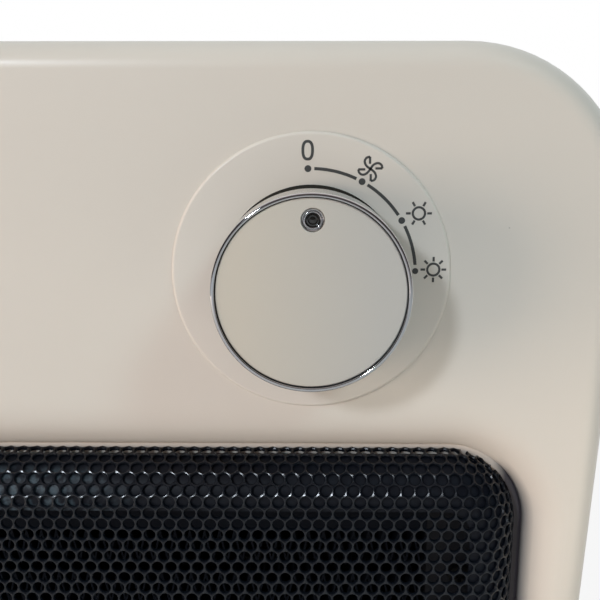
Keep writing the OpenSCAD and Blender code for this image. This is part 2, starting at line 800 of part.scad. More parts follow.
module element_tubes() {
    color([0.8, 0.81, 0.82])
        for (z = row_z) difference() {
            block(0, z, tube_l, tube_h, element_back, element_front);
            block(0, z, tube_l + 2 * cut, tube_h - 2 * tube_t, element_back + tube_t,
                element_front - tube_t);
        }
}

module ceramic_stones() {
    step = (tube_l - 8) / stones;
    color([0.35, 0.33, 0.32])
        for (z = row_z) for (i = [0 : stones - 1])
            block((i - (stones - 1) / 2) * step, z, step - 1, stone_t,
                element_back + tube_t + 0.6, element_front - tube_t - 0.6);
}

module element_terminals() {
    strip_to = tube_l / 2 - 2;
    color([0.75, 0.76, 0.78])
        for (z = row_z) for (s = [-1, 1]) union() {
            block((strip_x + strip_to) / 2, z + s * strip_z, strip_to - strip_x, strip_t,
                element_back + tube_t + 1, element_front - tube_t - 1);
            // blade that leaves the end cap towards the wall
            block(strip_x + blade_w / 2, z + s * strip_z, blade_w, strip_t, element_back - 6,
                element_front - tube_t - 1);
        }
}

module element_fins() {
    half = fold_pitch / 2;
    n = floor(fin_l / half);
    rise = fin_t / cos(atan(fin_h / half));
    color([0.82, 0.83, 0.84])
        for (z = row_z) for (s = [-1, 1])
            let (low = z + s * (tube_h / 2 + fin_h / 2 + 0.05) - fin_h / 2)
                slab(element_back + 0.5, element_front - 0.5)
                    polygon(concat(
                        [for (i = [0 : n]) [(i - n / 2) * half, low + (i % 2 == 0 ? 0 : fin_h - rise)]],
                        [for (i = [n : -1 : 0]) [(i - n / 2) * half, low + (i % 2 == 0 ? rise : fin_h)]]
                    ));
}

module element_rails() {
    color([0.7, 0.71, 0.72])
        for (s = [-1, 1])
            block(0, mouth_z + s * (element_h - rail_t) / 2, element_w, rail_t, element_back - 1,
                element_front + 1);
}

module element_end_caps() {
    inner = element_w / 2 - cap_w;
    color([0.55, 0.4, 0.28])
        for (s = [-1, 1]) difference() {
            block(s * (element_w - cap_w) / 2, mouth_z, cap_w, element_h - 2 * rail_t - 0.1,
                element_back - cap_over, element_front + cap_over);
            for (z = row_z) {
                // pocket for the end of the tube
                block(s * (inner + 1.6), z, 3.2, tube_h + 0.2, element_back - 0.1, element_front + 0.1);
                // chamber for the electrodes, open towards the wall
                block(s * (tube_l / 2 + 3.5), z, 7.2, tube_h - 2 * tube_t + 0.2,
                    element_back - cap_over - cut, element_front - tube_t + 0.1);
            }
            for (sz = [-1, 1])
                rod(s * element_screw_x, mouth_z + sz * element_screw_z, element_back - cap_over - cut,
                    element_front + cap_over + cut, screw_r + seat_gap);
        }
}

module element_screws() {
    color([0.7, 0.7, 0.72])
        for (sx = [-1, 1]) for (sz = [-1, 1])
            screw(sx * element_screw_x, mouth_z + sz * element_screw_z, element_front + cap_over,
                plate_d - 4, screw_r, screw_head_r, screw_head_h);
}

module thermal_cutout() {
    color([0.75, 0.72, 0.65]) union() {
        translate([cutout_x, -sensor_d, collar_top - duct_t]) {
            cylinder(r = 6.2, h = duct_t + weld);
            translate([0, 0, duct_t]) cylinder(r = 8, h = 2.5);
            translate([0, 0, duct_t + 2]) cylinder(r = 5.8, h = 7);
        }
        for (s = [-1, 1])
            block(cutout_x + s * 3, collar_top + tab_rise, 4, 0.8, sensor_d - tab_reach, sensor_d - 3);
    }
}

module cutout_strap() {
    strap_t = 0.8;
    top = collar_top + 2.6;
    foot_x = 13;
    half_w = 8;
    from = sensor_d - half_w;
    to = sensor_d + half_w;
    color([0.72, 0.73, 0.74]) difference() {
        union() {
            block(cutout_x, top + strap_t / 2, 2 * foot_x + strap_t, strap_t, from, to);
            for (s = [-1, 1]) {
                block(cutout_x + s * foot_x, (collar_top + top + strap_t) / 2, strap_t,
                    top + strap_t - collar_top, from, to);
                block(cutout_x + s * (foot_x + 3), collar_top + strap_t / 2, 7, strap_t, from, to);
            }
        }
        translate([cutout_x, -sensor_d, collar_top]) cylinder(r = 6, h = 10);
    }
}

module thermal_fuse() {
    color([0.85, 0.84, 0.8]) union() {
        translate([fuse_x, -sensor_d, collar_top + 2.3]) rotate([0, 90, 0]) {
            cylinder(r = 2.2, h = 14, center = true);
            cylinder(r = 0.6, h = 26, center = true);
        }
    }
}

module heat_shield() {
    shield_t = 0.6;
    shield_w = collar_w - 20;
    color([0.74, 0.75, 0.76]) union() {
        block(0, collar_top + shield_h - shield_t / 2, shield_w, shield_t, plate_d + 1, collar_front - 1);
        for (s = [-1, 1])
            block(s * (shield_w - shield_t) / 2, collar_top + shield_h / 2 + 0.05, shield_t, shield_h - 0.1,
                plate_d + 1, collar_front - 1);
    }
}

module fan_duct() {
    arm_w = 7;
    arm_t = spider_t - 0.6;
    color([0.2, 0.2, 0.21]) difference() {
        union() {
            difference() {
                union() {
                    rod(0, mouth_z, duct_rear, plate_d + weld, duct_r + duct_t);
                    difference() {
                        slab(plate_d, collar_front) polygon(frame_points(collar_w, collar_h, collar_r));
                        slab(plate_front, collar_front + cut)
                            polygon(frame_points(collar_w - 2 * duct_t, collar_h - 2 * duct_t,
                                collar_r - duct_t));
                    }
                }
                rod(0, mouth_z, duct_rear - cut, plate_front + cut, duct_r);
            }
            // spider that carries the motor
            rod(0, mouth_z, duct_rear, duct_rear + spider_t, spider_r);
            for (turn = [45 : 90 : 315])
                translate([0, -duct_rear - spider_t + 0.3, mouth_z]) rotate([0, turn, 0])
                    translate([spider_r - 2, 0, -arm_w / 2])
                        cube([duct_r + duct_t / 2 - spider_r + 2, arm_t, arm_w]);
            for (sx = [-1, 1]) for (sz = [-1, 1])
                rod(sx * element_screw_x, mouth_z + sz * element_screw_z, plate_d - 4,
                    element_back - cap_over - 0.1, post_r);
        }
        rod(0, mouth_z, duct_rear - cut, duct_rear + spider_t + cut, 8);
        for (s = [-1, 1])
            rod(s * motor_arm, mouth_z, duct_rear - cut, duct_rear + spider_t + cut, screw_r + run_fit);
        for (sx = [-1, 1]) for (sz = [-1, 1]) {
            rod(sx * post_x, mouth_z + sz * post_z, plate_d - cut, plate_front + cut, screw_r + seat_gap);
            rod(sx * element_screw_x, mouth_z + sz * element_screw_z, plate_d - 4 - cut, element_back,
                screw_r + run_fit);
        }
        translate([cutout_x, -sensor_d, collar_top - duct_t - cut])
            cylinder(r = 6.2 + slip, h = duct_t + 2 * cut);
        // hole for the element leads
        block(lead_hole_x, lead_hole_z, 10, 6, plate_d - cut, plate_front + cut);
    }
}

module duct_screws() {
    color([0.7, 0.7, 0.72])
        for (sx = [-1, 1]) for (sz = [-1, 1])
            screw(sx * post_x, mouth_z + sz * post_z, plate_front, plate_d - duct_screw_hold, screw_r,
                screw_head_r, screw_head_h);
}

module impeller() {
    tip_r = duct_r - tip_gap;
    blade_t = 1.8;
    chord = (impeller_l - 2) / cos(blade_pitch);
    color([0.3, 0.31, 0.33]) difference() {
        union() {
            rod(0, mouth_z, impeller_back, impeller_front, impeller_hub_r);
            for (k = [0 : blades - 1])
                intersection() {
                    translate([0, -(impeller_back + impeller_front) / 2, mouth_z])
                        rotate([0, k * 360 / blades, 0])
                            translate([(impeller_hub_r + tip_r) / 2, 0, 0]) rotate([blade_pitch, 0, 0])
                                cube([tip_r + 4 - impeller_hub_r, chord, blade_t], center = true);
                    rod(0, mouth_z, impeller_back, impeller_front, tip_r);
                }
        }
        rod(0, mouth_z, impeller_back - cut, impeller_front + cut, motor_shaft_d / 2 + run_fit);
        // hollow of the hub, open towards the room
        difference() {
            rod(0, mouth_z, impeller_back + 5, impeller_front + cut, impeller_hub_r - 2);
            rod(0, mouth_z, impeller_back + 4, impeller_front + 2 * cut, motor_shaft_d / 2 + 3);
        }
    }
}

module hub_nut() {
    color([0.8, 0.7, 0.4]) difference() {
        translate([0, -impeller_front, mouth_z]) rotate([90, 0, 0]) cylinder(r = 4, h = nut_l, $fn = 6);
        rod(0, mouth_z, impeller_front - cut, impeller_front + nut_l + cut, motor_shaft_d / 2 + run_fit);
    }
}

module motor_shaft() {
    color([0.75, 0.75, 0.77])
        rod(0, mouth_z, rear_bracket_d + 0.5, impeller_front + nut_l + 0.6, motor_shaft_d / 2);
}

module motor_rotor() {
    color([0.6, 0.6, 0.62]) difference() {
        rod(0, mouth_z, stator_back, stator_front, motor_rotor_d / 2);
        rod(0, mouth_z, stator_back - cut, stator_front + cut, motor_shaft_d / 2 + run_fit);
    }
}

module stator() {
    color([0.5, 0.5, 0.52]) difference() {
        block(0, mouth_z + stator_top - stator_h / 2, stator_w, stator_h, stator_back, stator_front);
        rod(0, mouth_z, stator_back - cut, stator_front + cut, motor_rotor_d / 2 + air_gap);
        block(0, mouth_z + leg_top + window_h / 2, window_w, window_h, stator_back - cut,
            stator_front + cut);
        for (s = [-1, 1])
            rod(s * motor_arm, mouth_z, stator_back - cut, stator_front + cut, screw_r + seat_gap);
    }
}

module motor_coil() {
    over = 6;
    height = leg_h + 2 * (window_h - 1);
    color([0.65, 0.32, 0.15]) difference() {
        block(0, mouth_z + leg_top - leg_h / 2, window_w - 2, height, stator_back - over,
            stator_front + over);
        block(0, mouth_z + leg_top - leg_h / 2, window_w, leg_h + 2 * seat_gap, stator_back - seat_gap,
            stator_front + seat_gap);
    }
}

// Die-cast bracket that holds a bush and stands on the stator
module motor_bracket(plate_from, plate_to, cup_from, cup_to, leg_from, leg_to) {
    difference() {
        union() {
            block(0, mouth_z, 2 * motor_arm + 10, 12, plate_from, plate_to);
            rod(0, mouth_z, cup_from, cup_to, bush_r + 2);
            for (s = [-1, 1]) rod(s * motor_arm, mouth_z, leg_from, leg_to, 4.5);
        }
        rod(0, mouth_z, cup_from - 5, cup_to + 5, bush_r + run_fit);
        for (s = [-1, 1]) rod(s * motor_arm, mouth_z, leg_from - 5, leg_to + 5, screw_r + slip);
    }
}

module motor_front_bracket() {
    color([0.68, 0.69, 0.7])
        motor_bracket(duct_rear - bracket_plate_t, duct_rear, duct_rear - bearing_l, duct_rear,
            stator_front, duct_rear);
}

module motor_rear_bracket() {
    color([0.68, 0.69, 0.7])
        motor_bracket(rear_bracket_d, rear_bracket_d + bracket_plate_t, rear_bracket_d,
            rear_bracket_d + bearing_l, rear_bracket_d, stator_back);
}

module shaft_bushes() {
    color([0.7, 0.5, 0.3])
        for (d = [rear_bracket_d, duct_rear - bearing_l]) difference() {
            rod(0, mouth_z, d, d + bearing_l, bush_r);
            rod(0, mouth_z, d - cut, d + bearing_l + cut, motor_shaft_d / 2 + run_fit);
        }
}

module motor_screws() {
    color([0.7, 0.7, 0.72])
        for (s = [-1, 1])
            screw(s * motor_arm, mouth_z, rear_bracket_d, duct_rear + spider_t, screw_r, screw_head_r,
                screw_head_h);
}

module terminal_block() {
    bore_r = 1.4;
    color([0.9, 0.9, 0.88]) difference() {
        block(block_x, block_z, block_w, block_h, block_seat, block_top);
        for (s = [-1, 1])
            rod(block_x + s * block_screw_w / 2, block_z, block_seat - cut, block_top + cut,
                small_screw_r + slip);
        for (x = [-pole_w, 0, pole_w])
            translate([block_x + x, -block_mid, block_z - block_h / 2 - cut])
                cylinder(r = bore_r, h = block_h + 2 * cut);
    }
}

module block_screws() {
    color([0.7, 0.7, 0.72])
        for (s = [-1, 1])
            screw(block_x + s * block_screw_w / 2, block_z, block_top, stand_off + wall_t + 0.5,
                small_screw_r, small_head_r, small_head_h);
}

module inlet_grommet() {
    flange_t = 1.5;
    grip = wall_t + 3;
    color([0.13, 0.13, 0.13])
        translate([inlet_x, -inlet_depth, body_bottom]) difference() {
            union() {
                translate([0, 0, -flange_t]) cylinder(r = grommet_r + 2, h = flange_t);
                translate([0, 0, -weld]) cylinder(r = grommet_r, h = grip + flange_t + weld);
                translate([0, 0, grip + 0.1]) cylinder(r = grommet_r + 1, h = flange_t);
            }
            translate([0, 0, -flange_t - cut])
                cylinder(r = inlet_d / 2, h = grip + 2 * flange_t + 3 * cut);
        }
}

module switch_leads() {
    left = knob_x - contact_x;
    top = block_z + block_h / 2;
    end = -contact_tip + 0.1;
    over = knob_z + switch_w / 2;
    color([0.5, 0.25, 0.15]) {
        lead([[block_x - pole_w, -block_mid, top + 0.1],
            [block_x - pole_w, -block_mid - pole_w, top + block_h], [block_x / 2, -lead_near, over],
            [left / 4, -lead_near, over], [left, -lead_near, knob_z + contact_x],
            [left, end, knob_z + contact_x]], lead_d);
        lead([[block_x + pole_w, -block_mid, top + 0.1],
            [block_x + pole_w, -block_mid - pole_w, top + pole_w],
            [0.4 * block_x, -lead_far, block_z], [left / 4, -lead_far, block_z],
            [left, -lead_far, knob_z - contact_x], [left, end, knob_z - contact_x]], lead_d);
    }
}

module element_leads() {
    right = knob_x + contact_x;
    tab_end = 0.1 - (sensor_d - tab_reach);
    tab_z = collar_top + tab_rise;
    gap_d = plate_front + 4;
    strip = row_z[rows - 1] + strip_z;
    low = collar_top + lead_d;
    color([0.8, 0.8, 0.82]) {
        lead([[right, 0.1 - contact_tip, knob_z - contact_x], [right, -lead_near, knob_z - contact_x],
            [knob_x - contact_x, -lead_far, collar_top + shield_h], [cutout_x / 3, -lead_far, tab_z],
            [cutout_x + 3, -lead_far, tab_z], [cutout_x + 3, tab_end, tab_z]], lead_d);
        lead([[cutout_x - 3, tab_end, tab_z], [cutout_x - 3, -lead_near, tab_z],
            [2 * cutout_x, -lead_near, low], [lead_hole_x, -lead_far, lead_hole_z],
            [lead_hole_x, -gap_d, lead_hole_z], [lead_hole_x, -gap_d, strip],
            [strip_x + blade_w + 0.2, -gap_d, strip]], lead_d);
    }
}

module motor_leads() {
    bottom = block_z - block_h / 2 - 0.1;
    coil_x = -window_w / 2 + 0.9;
    coil_drop = 6;
    coil_z = mouth_z + leg_top - leg_h - coil_drop;
    behind = duct_rear - 4 * lead_d;
    beside = post_x - post_r - 2 * lead_d;
    color([0.15, 0.25, 0.6])
        for (n = [0, 1])
            lead([[block_x - n * pole_w, -block_mid, bottom],
                [(1 - n) * pole_w - beside, -block_mid, collar_top],
                [(1 - n) * pole_w - beside, -behind, mouth_z + duct_r / 4],
                [-0.9 * duct_r - n * pole_w, -motor_mid, coil_z + 3.4 * (1 - n)],
                [coil_x, -motor_mid, coil_z + 3.4 * (1 - n)]], lead_d);
}

wall_bracket();
rear_housing();
rubber_buffers();
housing_screws();
front_cover();
outlet_grille();
dial_plate();
knob_skirt();
knob_cap();
knob_hub();
knob_clip();
pointer_bezel();
pointer_insert();
switch_shaft();
switch_rotor();
detent_leaf();
switch_body();
switch_plate();
switch_contacts();
switch_screws();
element_tubes();
ceramic_stones();
element_fins();
element_rails();
element_end_caps();
element_terminals();
element_screws();
thermal_cutout();
cutout_strap();
thermal_fuse();
heat_shield();
fan_duct();
duct_screws();
impeller();
hub_nut();
motor_shaft();
motor_rotor();
stator();
motor_coil();
motor_front_bracket();
motor_rear_bracket();
shaft_bushes();
motor_screws();
terminal_block();
block_screws();
inlet_grommet();
switch_leads();
element_leads();
motor_leads();
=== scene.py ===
import math

import bmesh
import bpy
import numpy as np
from mathutils import Matrix, Vector
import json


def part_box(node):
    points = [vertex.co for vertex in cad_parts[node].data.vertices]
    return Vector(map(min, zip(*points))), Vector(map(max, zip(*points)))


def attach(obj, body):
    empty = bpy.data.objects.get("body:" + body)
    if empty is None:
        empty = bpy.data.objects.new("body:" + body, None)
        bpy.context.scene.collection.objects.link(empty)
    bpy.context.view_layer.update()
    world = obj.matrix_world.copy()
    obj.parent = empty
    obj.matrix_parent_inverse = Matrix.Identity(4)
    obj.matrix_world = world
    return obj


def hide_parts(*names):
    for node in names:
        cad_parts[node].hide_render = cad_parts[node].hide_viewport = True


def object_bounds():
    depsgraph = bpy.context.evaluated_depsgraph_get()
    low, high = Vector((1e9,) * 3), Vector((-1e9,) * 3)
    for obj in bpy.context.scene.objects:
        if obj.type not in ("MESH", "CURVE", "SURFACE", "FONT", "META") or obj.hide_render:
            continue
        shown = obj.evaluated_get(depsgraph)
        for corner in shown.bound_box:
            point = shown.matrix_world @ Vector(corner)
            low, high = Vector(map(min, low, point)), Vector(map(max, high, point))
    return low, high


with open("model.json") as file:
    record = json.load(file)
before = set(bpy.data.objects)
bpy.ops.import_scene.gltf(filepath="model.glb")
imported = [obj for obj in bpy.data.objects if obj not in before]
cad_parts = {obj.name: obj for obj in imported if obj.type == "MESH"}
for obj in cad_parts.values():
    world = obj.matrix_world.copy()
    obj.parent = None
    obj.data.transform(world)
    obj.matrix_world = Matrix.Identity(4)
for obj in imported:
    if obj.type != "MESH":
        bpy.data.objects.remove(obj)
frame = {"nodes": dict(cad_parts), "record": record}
cad_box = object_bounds()
nodes = frame["nodes"]
scene = bpy.context.scene


# Camera
# It is held about 18 cm in front of the panel, a little above the knob, and looks down at it.
# The view holds only the top right corner of the heater.
dial_low, dial_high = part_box("dial_plate")
knob_x = (dial_low.x + dial_high.x) / 2
knob_z = (dial_low.z + dial_high.z) / 2
panel_y = dial_high.y
camera_aside, camera_ahead, camera_above = -0.00064, 0.18224, 0.03285
camera_tilt, camera_turn = math.radians(77.91), math.radians(0.573)
camera_data = bpy.data.cameras.new("camera")
camera_data.lens = 49.37
camera_data.sensor_width = 36
camera_data.clip_start = 0.01
camera = bpy.data.objects.new("camera", camera_data)
camera.location = (knob_x + camera_aside, panel_y - camera_ahead, knob_z + camera_above)
camera.rotation_euler = (camera_tilt, 0, camera_turn)
scene.collection.objects.link(camera)
scene.camera = camera
scene.view_settings.view_transform = "Standard"


# Floor
# A pale studio floor just under the heater. It is no part of the heater.
# What is seen of it behind the heater is nearly white, and it keeps the heater's shadow.
def add_node(owner, kind, **sockets):
    """A new shader node of a material or world, with some of its sockets set."""
    node = owner.node_tree.nodes.new(kind)
    for name, value in sockets.items():
        node.inputs[name.replace("_", " ")].default_value = value
    return node


def wire(owner, source, output, target, socket):
    """Joins an output of one shader node to an input of another."""
    owner.node_tree.links.new(source.outputs[output], target.inputs[socket])


def new_material(name):
    """A material, its surface node, and the coordinates of the object that wears it."""
    m = bpy.data.materials.new(name)
    m.use_nodes = True
    return m, m.node_tree.nodes["Principled BSDF"], add_node(m, "ShaderNodeTexCoord")


def laid_on(m, place, kind, **sockets):
    """A node that reads the object's own coordinates, such as a texture."""
    node = add_node(m, kind, **sockets)
    wire(m, place, "Object", node, "Vector")
    return node


def ramp(m, source, start, end, low=0.0, high=1.0):
    """Takes an output, given as (node, name), from start and end to low and high. Gives an output."""
    node = add_node(m, "ShaderNodeMapRange", From_Min=start, From_Max=end, To_Min=low, To_Max=high)
    wire(m, *source, node, "Value")
    return node, "Result"


def maths(m, operation, a, b=None):
    """A maths node on outputs or numbers. Gives an output."""
    node = add_node(m, "ShaderNodeMath")
    node.operation = operation
    for i, value in enumerate((a, b)):
        if isinstance(value, tuple):
            wire(m, *value, node, i)
        elif value is not None:
            node.inputs[i].default_value = value
    return node, 0


def mixed(m, factor, a, b):
    """Goes from colour a to colour b with an output. A colour is three numbers or an output. Gives an output."""
    mix = add_node(m, "ShaderNodeMix")
    mix.data_type = "RGBA"
    wire(m, *factor, mix, "Factor")
    for socket, colour in (("A", a), ("B", b)):
        if len(colour) == 3:
            mix.inputs[socket].default_value = (*colour, 1)
        else:
            wire(m, *colour, mix, socket)
    return mix, "Result"


def seen_directly(m):
    """An output that is 1 for the camera, gloss and glass, and 0 for the light that falls on things."""
    path = add_node(m, "ShaderNodeLightPath")
    seen = maths(m, "MAXIMUM", (path, "Is Camera Ray"), (path, "Is Glossy Ray"))
    return maths(m, "MAXIMUM", seen, (path, "Is Transmission Ray"))


def pale_floor_material():
    """Pale paint that shows white where it lies behind the heater."""
    m, paint, place = new_material("pale_floor")
    paint.inputs["Roughness"].default_value = 0.7
    cloud = laid_on(m, place, "ShaderNodeTexNoise", Scale=3.0, Detail=3.0)
    wire(m, *mixed(m, (cloud, "Fac"), (0.60, 0.60, 0.60), (0.64, 0.64, 0.64)), paint, "Base Color")
    axes = laid_on(m, place, "ShaderNodeSeparateXYZ")
    behind = ramp(m, (axes, "Y"), -0.15, 0.10, high=0.9)
    glow = add_node(m, "ShaderNodeEmission", Color=(1, 1, 1, 1), Strength=1.0)
    mix = add_node(m, "ShaderNodeMixShader")
    wire(m, *maths(m, "MULTIPLY", seen_directly(m), behind), mix, 0)
    wire(m, paint, 0, mix, 1)
    wire(m, glow, 0, mix, 2)
    wire(m, mix, 0, m.node_tree.nodes["Material Output"], "Surface")
    return m


floor_size = 6.0
floor_mesh = bpy.data.meshes.new("floor")
floor_z = cad_box[0][2] - 0.0005
corners = [(sx * floor_size, sy * floor_size, floor_z) for sx, sy in ((-1, -1), (1, -1), (1, 1), (-1, 1))]
floor_mesh.from_pydata(corners, [], [(0, 1, 2, 3)])
floor_mesh.materials.append(pale_floor_material())
floor = bpy.data.objects.new("floor", floor_mesh)
scene.collection.objects.link(floor)


# Room light
# What shows behind the heater is white. The room in front of it is darker, and gloss shows its bright ceiling
# and the left window. It shows neither the pale wall behind the camera nor the other lamps.
def room_world():
    world = bpy.data.worlds.new("room")
    scene.world = world
    world.use_nodes = True
    place = add_node(world, "ShaderNodeTexCoord")
    axes = add_node(world, "ShaderNodeSeparateXYZ")
    wire(world, place, "Generated", axes, "Vector")

    def soft_ramp(source, start, end):
        node, output = ramp(world, source, start, end)
        node.interpolation_type = "SMOOTHSTEP"
        return node, output

    low_belt, high_belt, ceiling = (0.036, 0.028, 0.030), (0.056, 0.048, 0.048), (0.41, 0.36, 0.36)
    colour = mixed(world, soft_ramp((axes, "Z"), -0.5, 0.1), low_belt, high_belt)
    colour = mixed(world, soft_ramp((axes, "Z"), 0.60, 0.95), colour, ceiling)
    wall_rise = math.radians(9)
    towards_wall = add_node(world, "ShaderNodeVectorMath")
    towards_wall.operation = "DOT_PRODUCT"
    towards_wall.inputs[1].default_value = (0, -math.cos(wall_rise), math.sin(wall_rise))
    wire(world, place, "Generated", towards_wall, 0)
    on_wall = soft_ramp((towards_wall, "Value"), math.cos(math.radians(25)), math.cos(math.radians(17)))
    path = add_node(world, "ShaderNodeLightPath")
    matt = maths(world, "SUBTRACT", 1.0, (path, "Is Glossy Ray"))
    colour = mixed(world, maths(world, "MULTIPLY", on_wall, matt), colour, (0.75, 0.56, 0.53))
    behind = maths(world, "MULTIPLY", seen_directly(world), soft_ramp((axes, "Y"), 0.0, 0.3))
    background = world.node_tree.nodes["Background"]
    wire(world, *mixed(world, behind, colour, (1.0, 1.0, 1.0)), background, "Color")
    background.inputs["Strength"].default_value = 1.0


def room_lamp(name, towards, distance, size, power, colour, in_chrome=True):
    """An area lamp that shines at the knob from the direction towards. in_chrome says whether gloss shows it."""
    data = bpy.data.lights.new(name, "AREA")
    data.shape = "SQUARE"
    data.size = size
    data.energy = power
    data.color = colour
    lamp = bpy.data.objects.new(name, data)
    away = Vector(towards).normalized()
    lamp.location = Vector((knob_x, panel_y, knob_z)) + away * distance
    lamp.rotation_euler = away.to_track_quat("Z", "Y").to_euler()
    lamp.visible_glossy = in_chrome
    scene.collection.objects.link(lamp)


room_world()
room_lamp("window_left", (-0.436, -0.801, 0.409), 2.2, 0.22, 17.6, (0.82, 0.90, 1.0))
room_lamp("wall_left", (-0.85, -0.5, 0.0), 1.0, 0.5, 5.8, (1.0, 0.80, 0.66), False)
room_lamp("window_right", (0.51, -0.51, 0.69), 1.3, 0.30, 4.6, (0.62, 0.94, 1.0), False)
room_lamp("ceiling", (0.05, -0.12, 0.99), 1.5, 0.9, 3.0, (1.0, 0.98, 0.95), False)
room_lamp("table_lamp", (0.724, -0.402, -0.561), 0.145, 0.05, 0.022, (1.0, 0.82, 0.64), False)


# Front cover
# The cream ABS shell that the knob and the outlet sit in, moulded with a rounded front edge.
# Its sides lean in towards the bottom. It is centred in the rear housing by a tongue and held by four screws.
body_top = 0.112
body_bottom = -0.150
body_half = 0.120
body_lean = math.radians(2.6)
body_corner = 0.038
body_low_corner = 0.034
cover_front = -panel_y
cover_seam = 0.062
wall = 0.0024
front_round = 0.006
mouth_top = knob_z - 0.0429
ledge_depth = 0.0078
mouth_half_w = 0.0986
mouth_half_h = 0.073
mouth_z = mouth_top - mouth_half_h
mouth_corner = 0.020
corner_steps = 20
support = 0.0004


def arc(x, z, r, start, end, steps):
    """Points of an arc; the angles run clockwise from straight up."""
    return [(x + r * math.sin(a), z + r * math.cos(a))
            for a in (start + (end - start) * i / steps for i in range(steps + 1))]


def outline(arcs):
    """Closed outline through arcs, with a point beside each end of every straight run."""
    points = []
    for i, part in enumerate(arcs):
        points += part
        a = Vector(part[-1])
        b = Vector(arcs[(i + 1) % len(arcs)][0])
        step = (b - a).normalized() * 0.0008
        points += [tuple(a + step), tuple(a + (b - a) / 2), tuple(b - step)]
    return np.array(points)


def side_x(z):
    return body_half - (body_top - z) * math.tan(body_lean)


def body_outline(inset):
    """Outline of the body, moved inwards by inset."""
    top_z = body_top - body_corner
    top_x = side_x(top_z) - body_corner / math.cos(body_lean)
    low_z = body_bottom + body_low_corner
    low_x = side_x(low_z) - body_low_corner / math.cos(body_lean)
    quarter = math.pi / 2
    turn = quarter + body_lean
    return outline([
        arc(top_x, top_z, body_corner - inset, 0, turn, corner_steps),
        arc(low_x, low_z, body_low_corner - inset, turn, 2 * quarter, corner_steps),
        arc(-low_x, low_z, body_low_corner - inset, 2 * quarter, 4 * quarter - turn, corner_steps),
        arc(-top_x, top_z, body_corner - inset, 4 * quarter - turn, 4 * quarter, corner_steps)])


def mouth_outline(inset, high_inset=None, low_inset=None):
    """Outline of the mouth, moved inwards by inset, or at its sides by high_inset above and low_inset below."""
    corners = []
    for k, (side, up) in enumerate(((1, 1), (1, -1), (-1, -1), (-1, 1))):
        side_inset = inset if high_inset is None else high_inset if up > 0 else low_inset
        r = mouth_corner - (inset + side_inset) / 2
        x = side * (mouth_half_w - side_inset - r)
        z = mouth_z + up * (mouth_half_h - inset - r)
        corners.append(arc(x, z, r, k * math.pi / 2, (k + 1) * math.pi / 2, corner_steps))
    return outline(corners)


def quarter_round(steps):
    """(across, along) of a quarter circle of radius 1, from its flat start to its upright end."""
    return [(1 - math.cos(math.pi / 2 * i / steps), math.sin(math.pi / 2 * i / steps))
            for i in range(steps + 1)]


def ring_solid(rings, closed):
    """Mesh code for a skin through rings, each (outline, distance from the wall). closed joins last to first."""
    verts = [(x, -d, z) for points, d in rings for x, z in points]
    n = len(rings[0][0])
    last = len(rings) if closed else len(rings) - 1
    faces = []
    for i in range(last):
        for k in range(n):
            a, b = i * n + k, i * n + (k + 1) % n
            c, e = (i + 1) % len(rings) * n + k, (i + 1) % len(rings) * n + (k + 1) % n
            faces.append((a, b, e, c))
    if not closed:
        faces.append(tuple(range(n)))
        faces.append(tuple(range((len(rings) - 1) * n, len(rings) * n)))
    mesh = bmesh.new()
    handles = [mesh.verts.new(v) for v in verts]
    for f in faces:
        mesh.faces.new([handles[i] for i in f])
    bmesh.ops.recalc_face_normals(mesh, faces=mesh.faces)
    return mesh


def add_piece(name, mesh, body, material, crease=30):
    """Makes a piece from mesh code. Edges that turn by more than crease degrees stay sharp."""
    data = bpy.data.meshes.new(name)
    mesh.to_mesh(data)
    mesh.free()
    data.materials.append(material)
    data.polygons.foreach_set("use_smooth", [True] * len(data.polygons))
    data.set_sharp_from_angle(angle=math.radians(crease))
    piece = bpy.data.objects.new(name, data)
    scene.collection.objects.link(piece)
    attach(piece, body)
    return piece


def base_colour(m):
    """The output that makes a material's base colour."""
    link = m.node_tree.nodes["Principled BSDF"].inputs["Base Color"].links[0]
    return link.from_node, "Result"


def set_base_colour(m, source):
    wire(m, *source, m.node_tree.nodes["Principled BSDF"], "Base Color")


def multiply_colour(m, by):
    """Multiplies the base colour by an output."""
    product = add_node(m, "ShaderNodeMix")
    product.data_type = "RGBA"
    product.blend_type = "MULTIPLY"
    product.inputs["Factor"].default_value = 1.0
    wire(m, *base_colour(m), product, "A")
    wire(m, *by, product, "B")
    set_base_colour(m, (product, "Result"))


def vary_gloss(m, pattern, low, high):
    """Roughness from low to high with a pattern."""
    wire(m, *ramp(m, (pattern, "Fac"), 0, 1, low, high), m.node_tree.nodes["Principled BSDF"], "Roughness")


def raise_surface(m, pattern, strength, depth=0.0002):
    """Relief that follows a pattern."""
    relief = add_node(m, "ShaderNodeBump", Strength=strength, Distance=depth)
    wire(m, pattern, "Fac", relief, "Height")
    wire(m, relief, "Normal", m.node_tree.nodes["Principled BSDF"], "Normal")


def moulded_plastic(name, colour, roughness, grain=0.06, grain_scale=2600.0, mottle=0.04, coat=0.0, shine=0.5):
    """Moulded plastic: fine spark grain, a slow drift of the colour and a few specks of dust."""
    m, bsdf, place = new_material(name)
    bsdf.inputs["Specular IOR Level"].default_value = shine
    bsdf.inputs["Coat Weight"].default_value = coat
    bsdf.inputs["Coat Roughness"].default_value = 0.15
    drift = laid_on(m, place, "ShaderNodeTexNoise", Scale=14.0, Detail=3.0, Roughness=0.5)
    set_base_colour(m, mixed(m, (drift, "Fac"), [c * (1 - mottle) for c in colour],
                             [min(1, c * (1 + mottle)) for c in colour]))
    dust = laid_on(m, place, "ShaderNodeTexVoronoi", Scale=45.0, Randomness=1.0)
    multiply_colour(m, ramp(m, (dust, "Distance"), 0.004, 0.011, 0.55, 1.0))
    spark = laid_on(m, place, "ShaderNodeTexNoise", Scale=grain_scale, Detail=2.0)
    vary_gloss(m, spark, roughness - 0.05, roughness + 0.05)
    raise_surface(m, spark, grain)
    return m


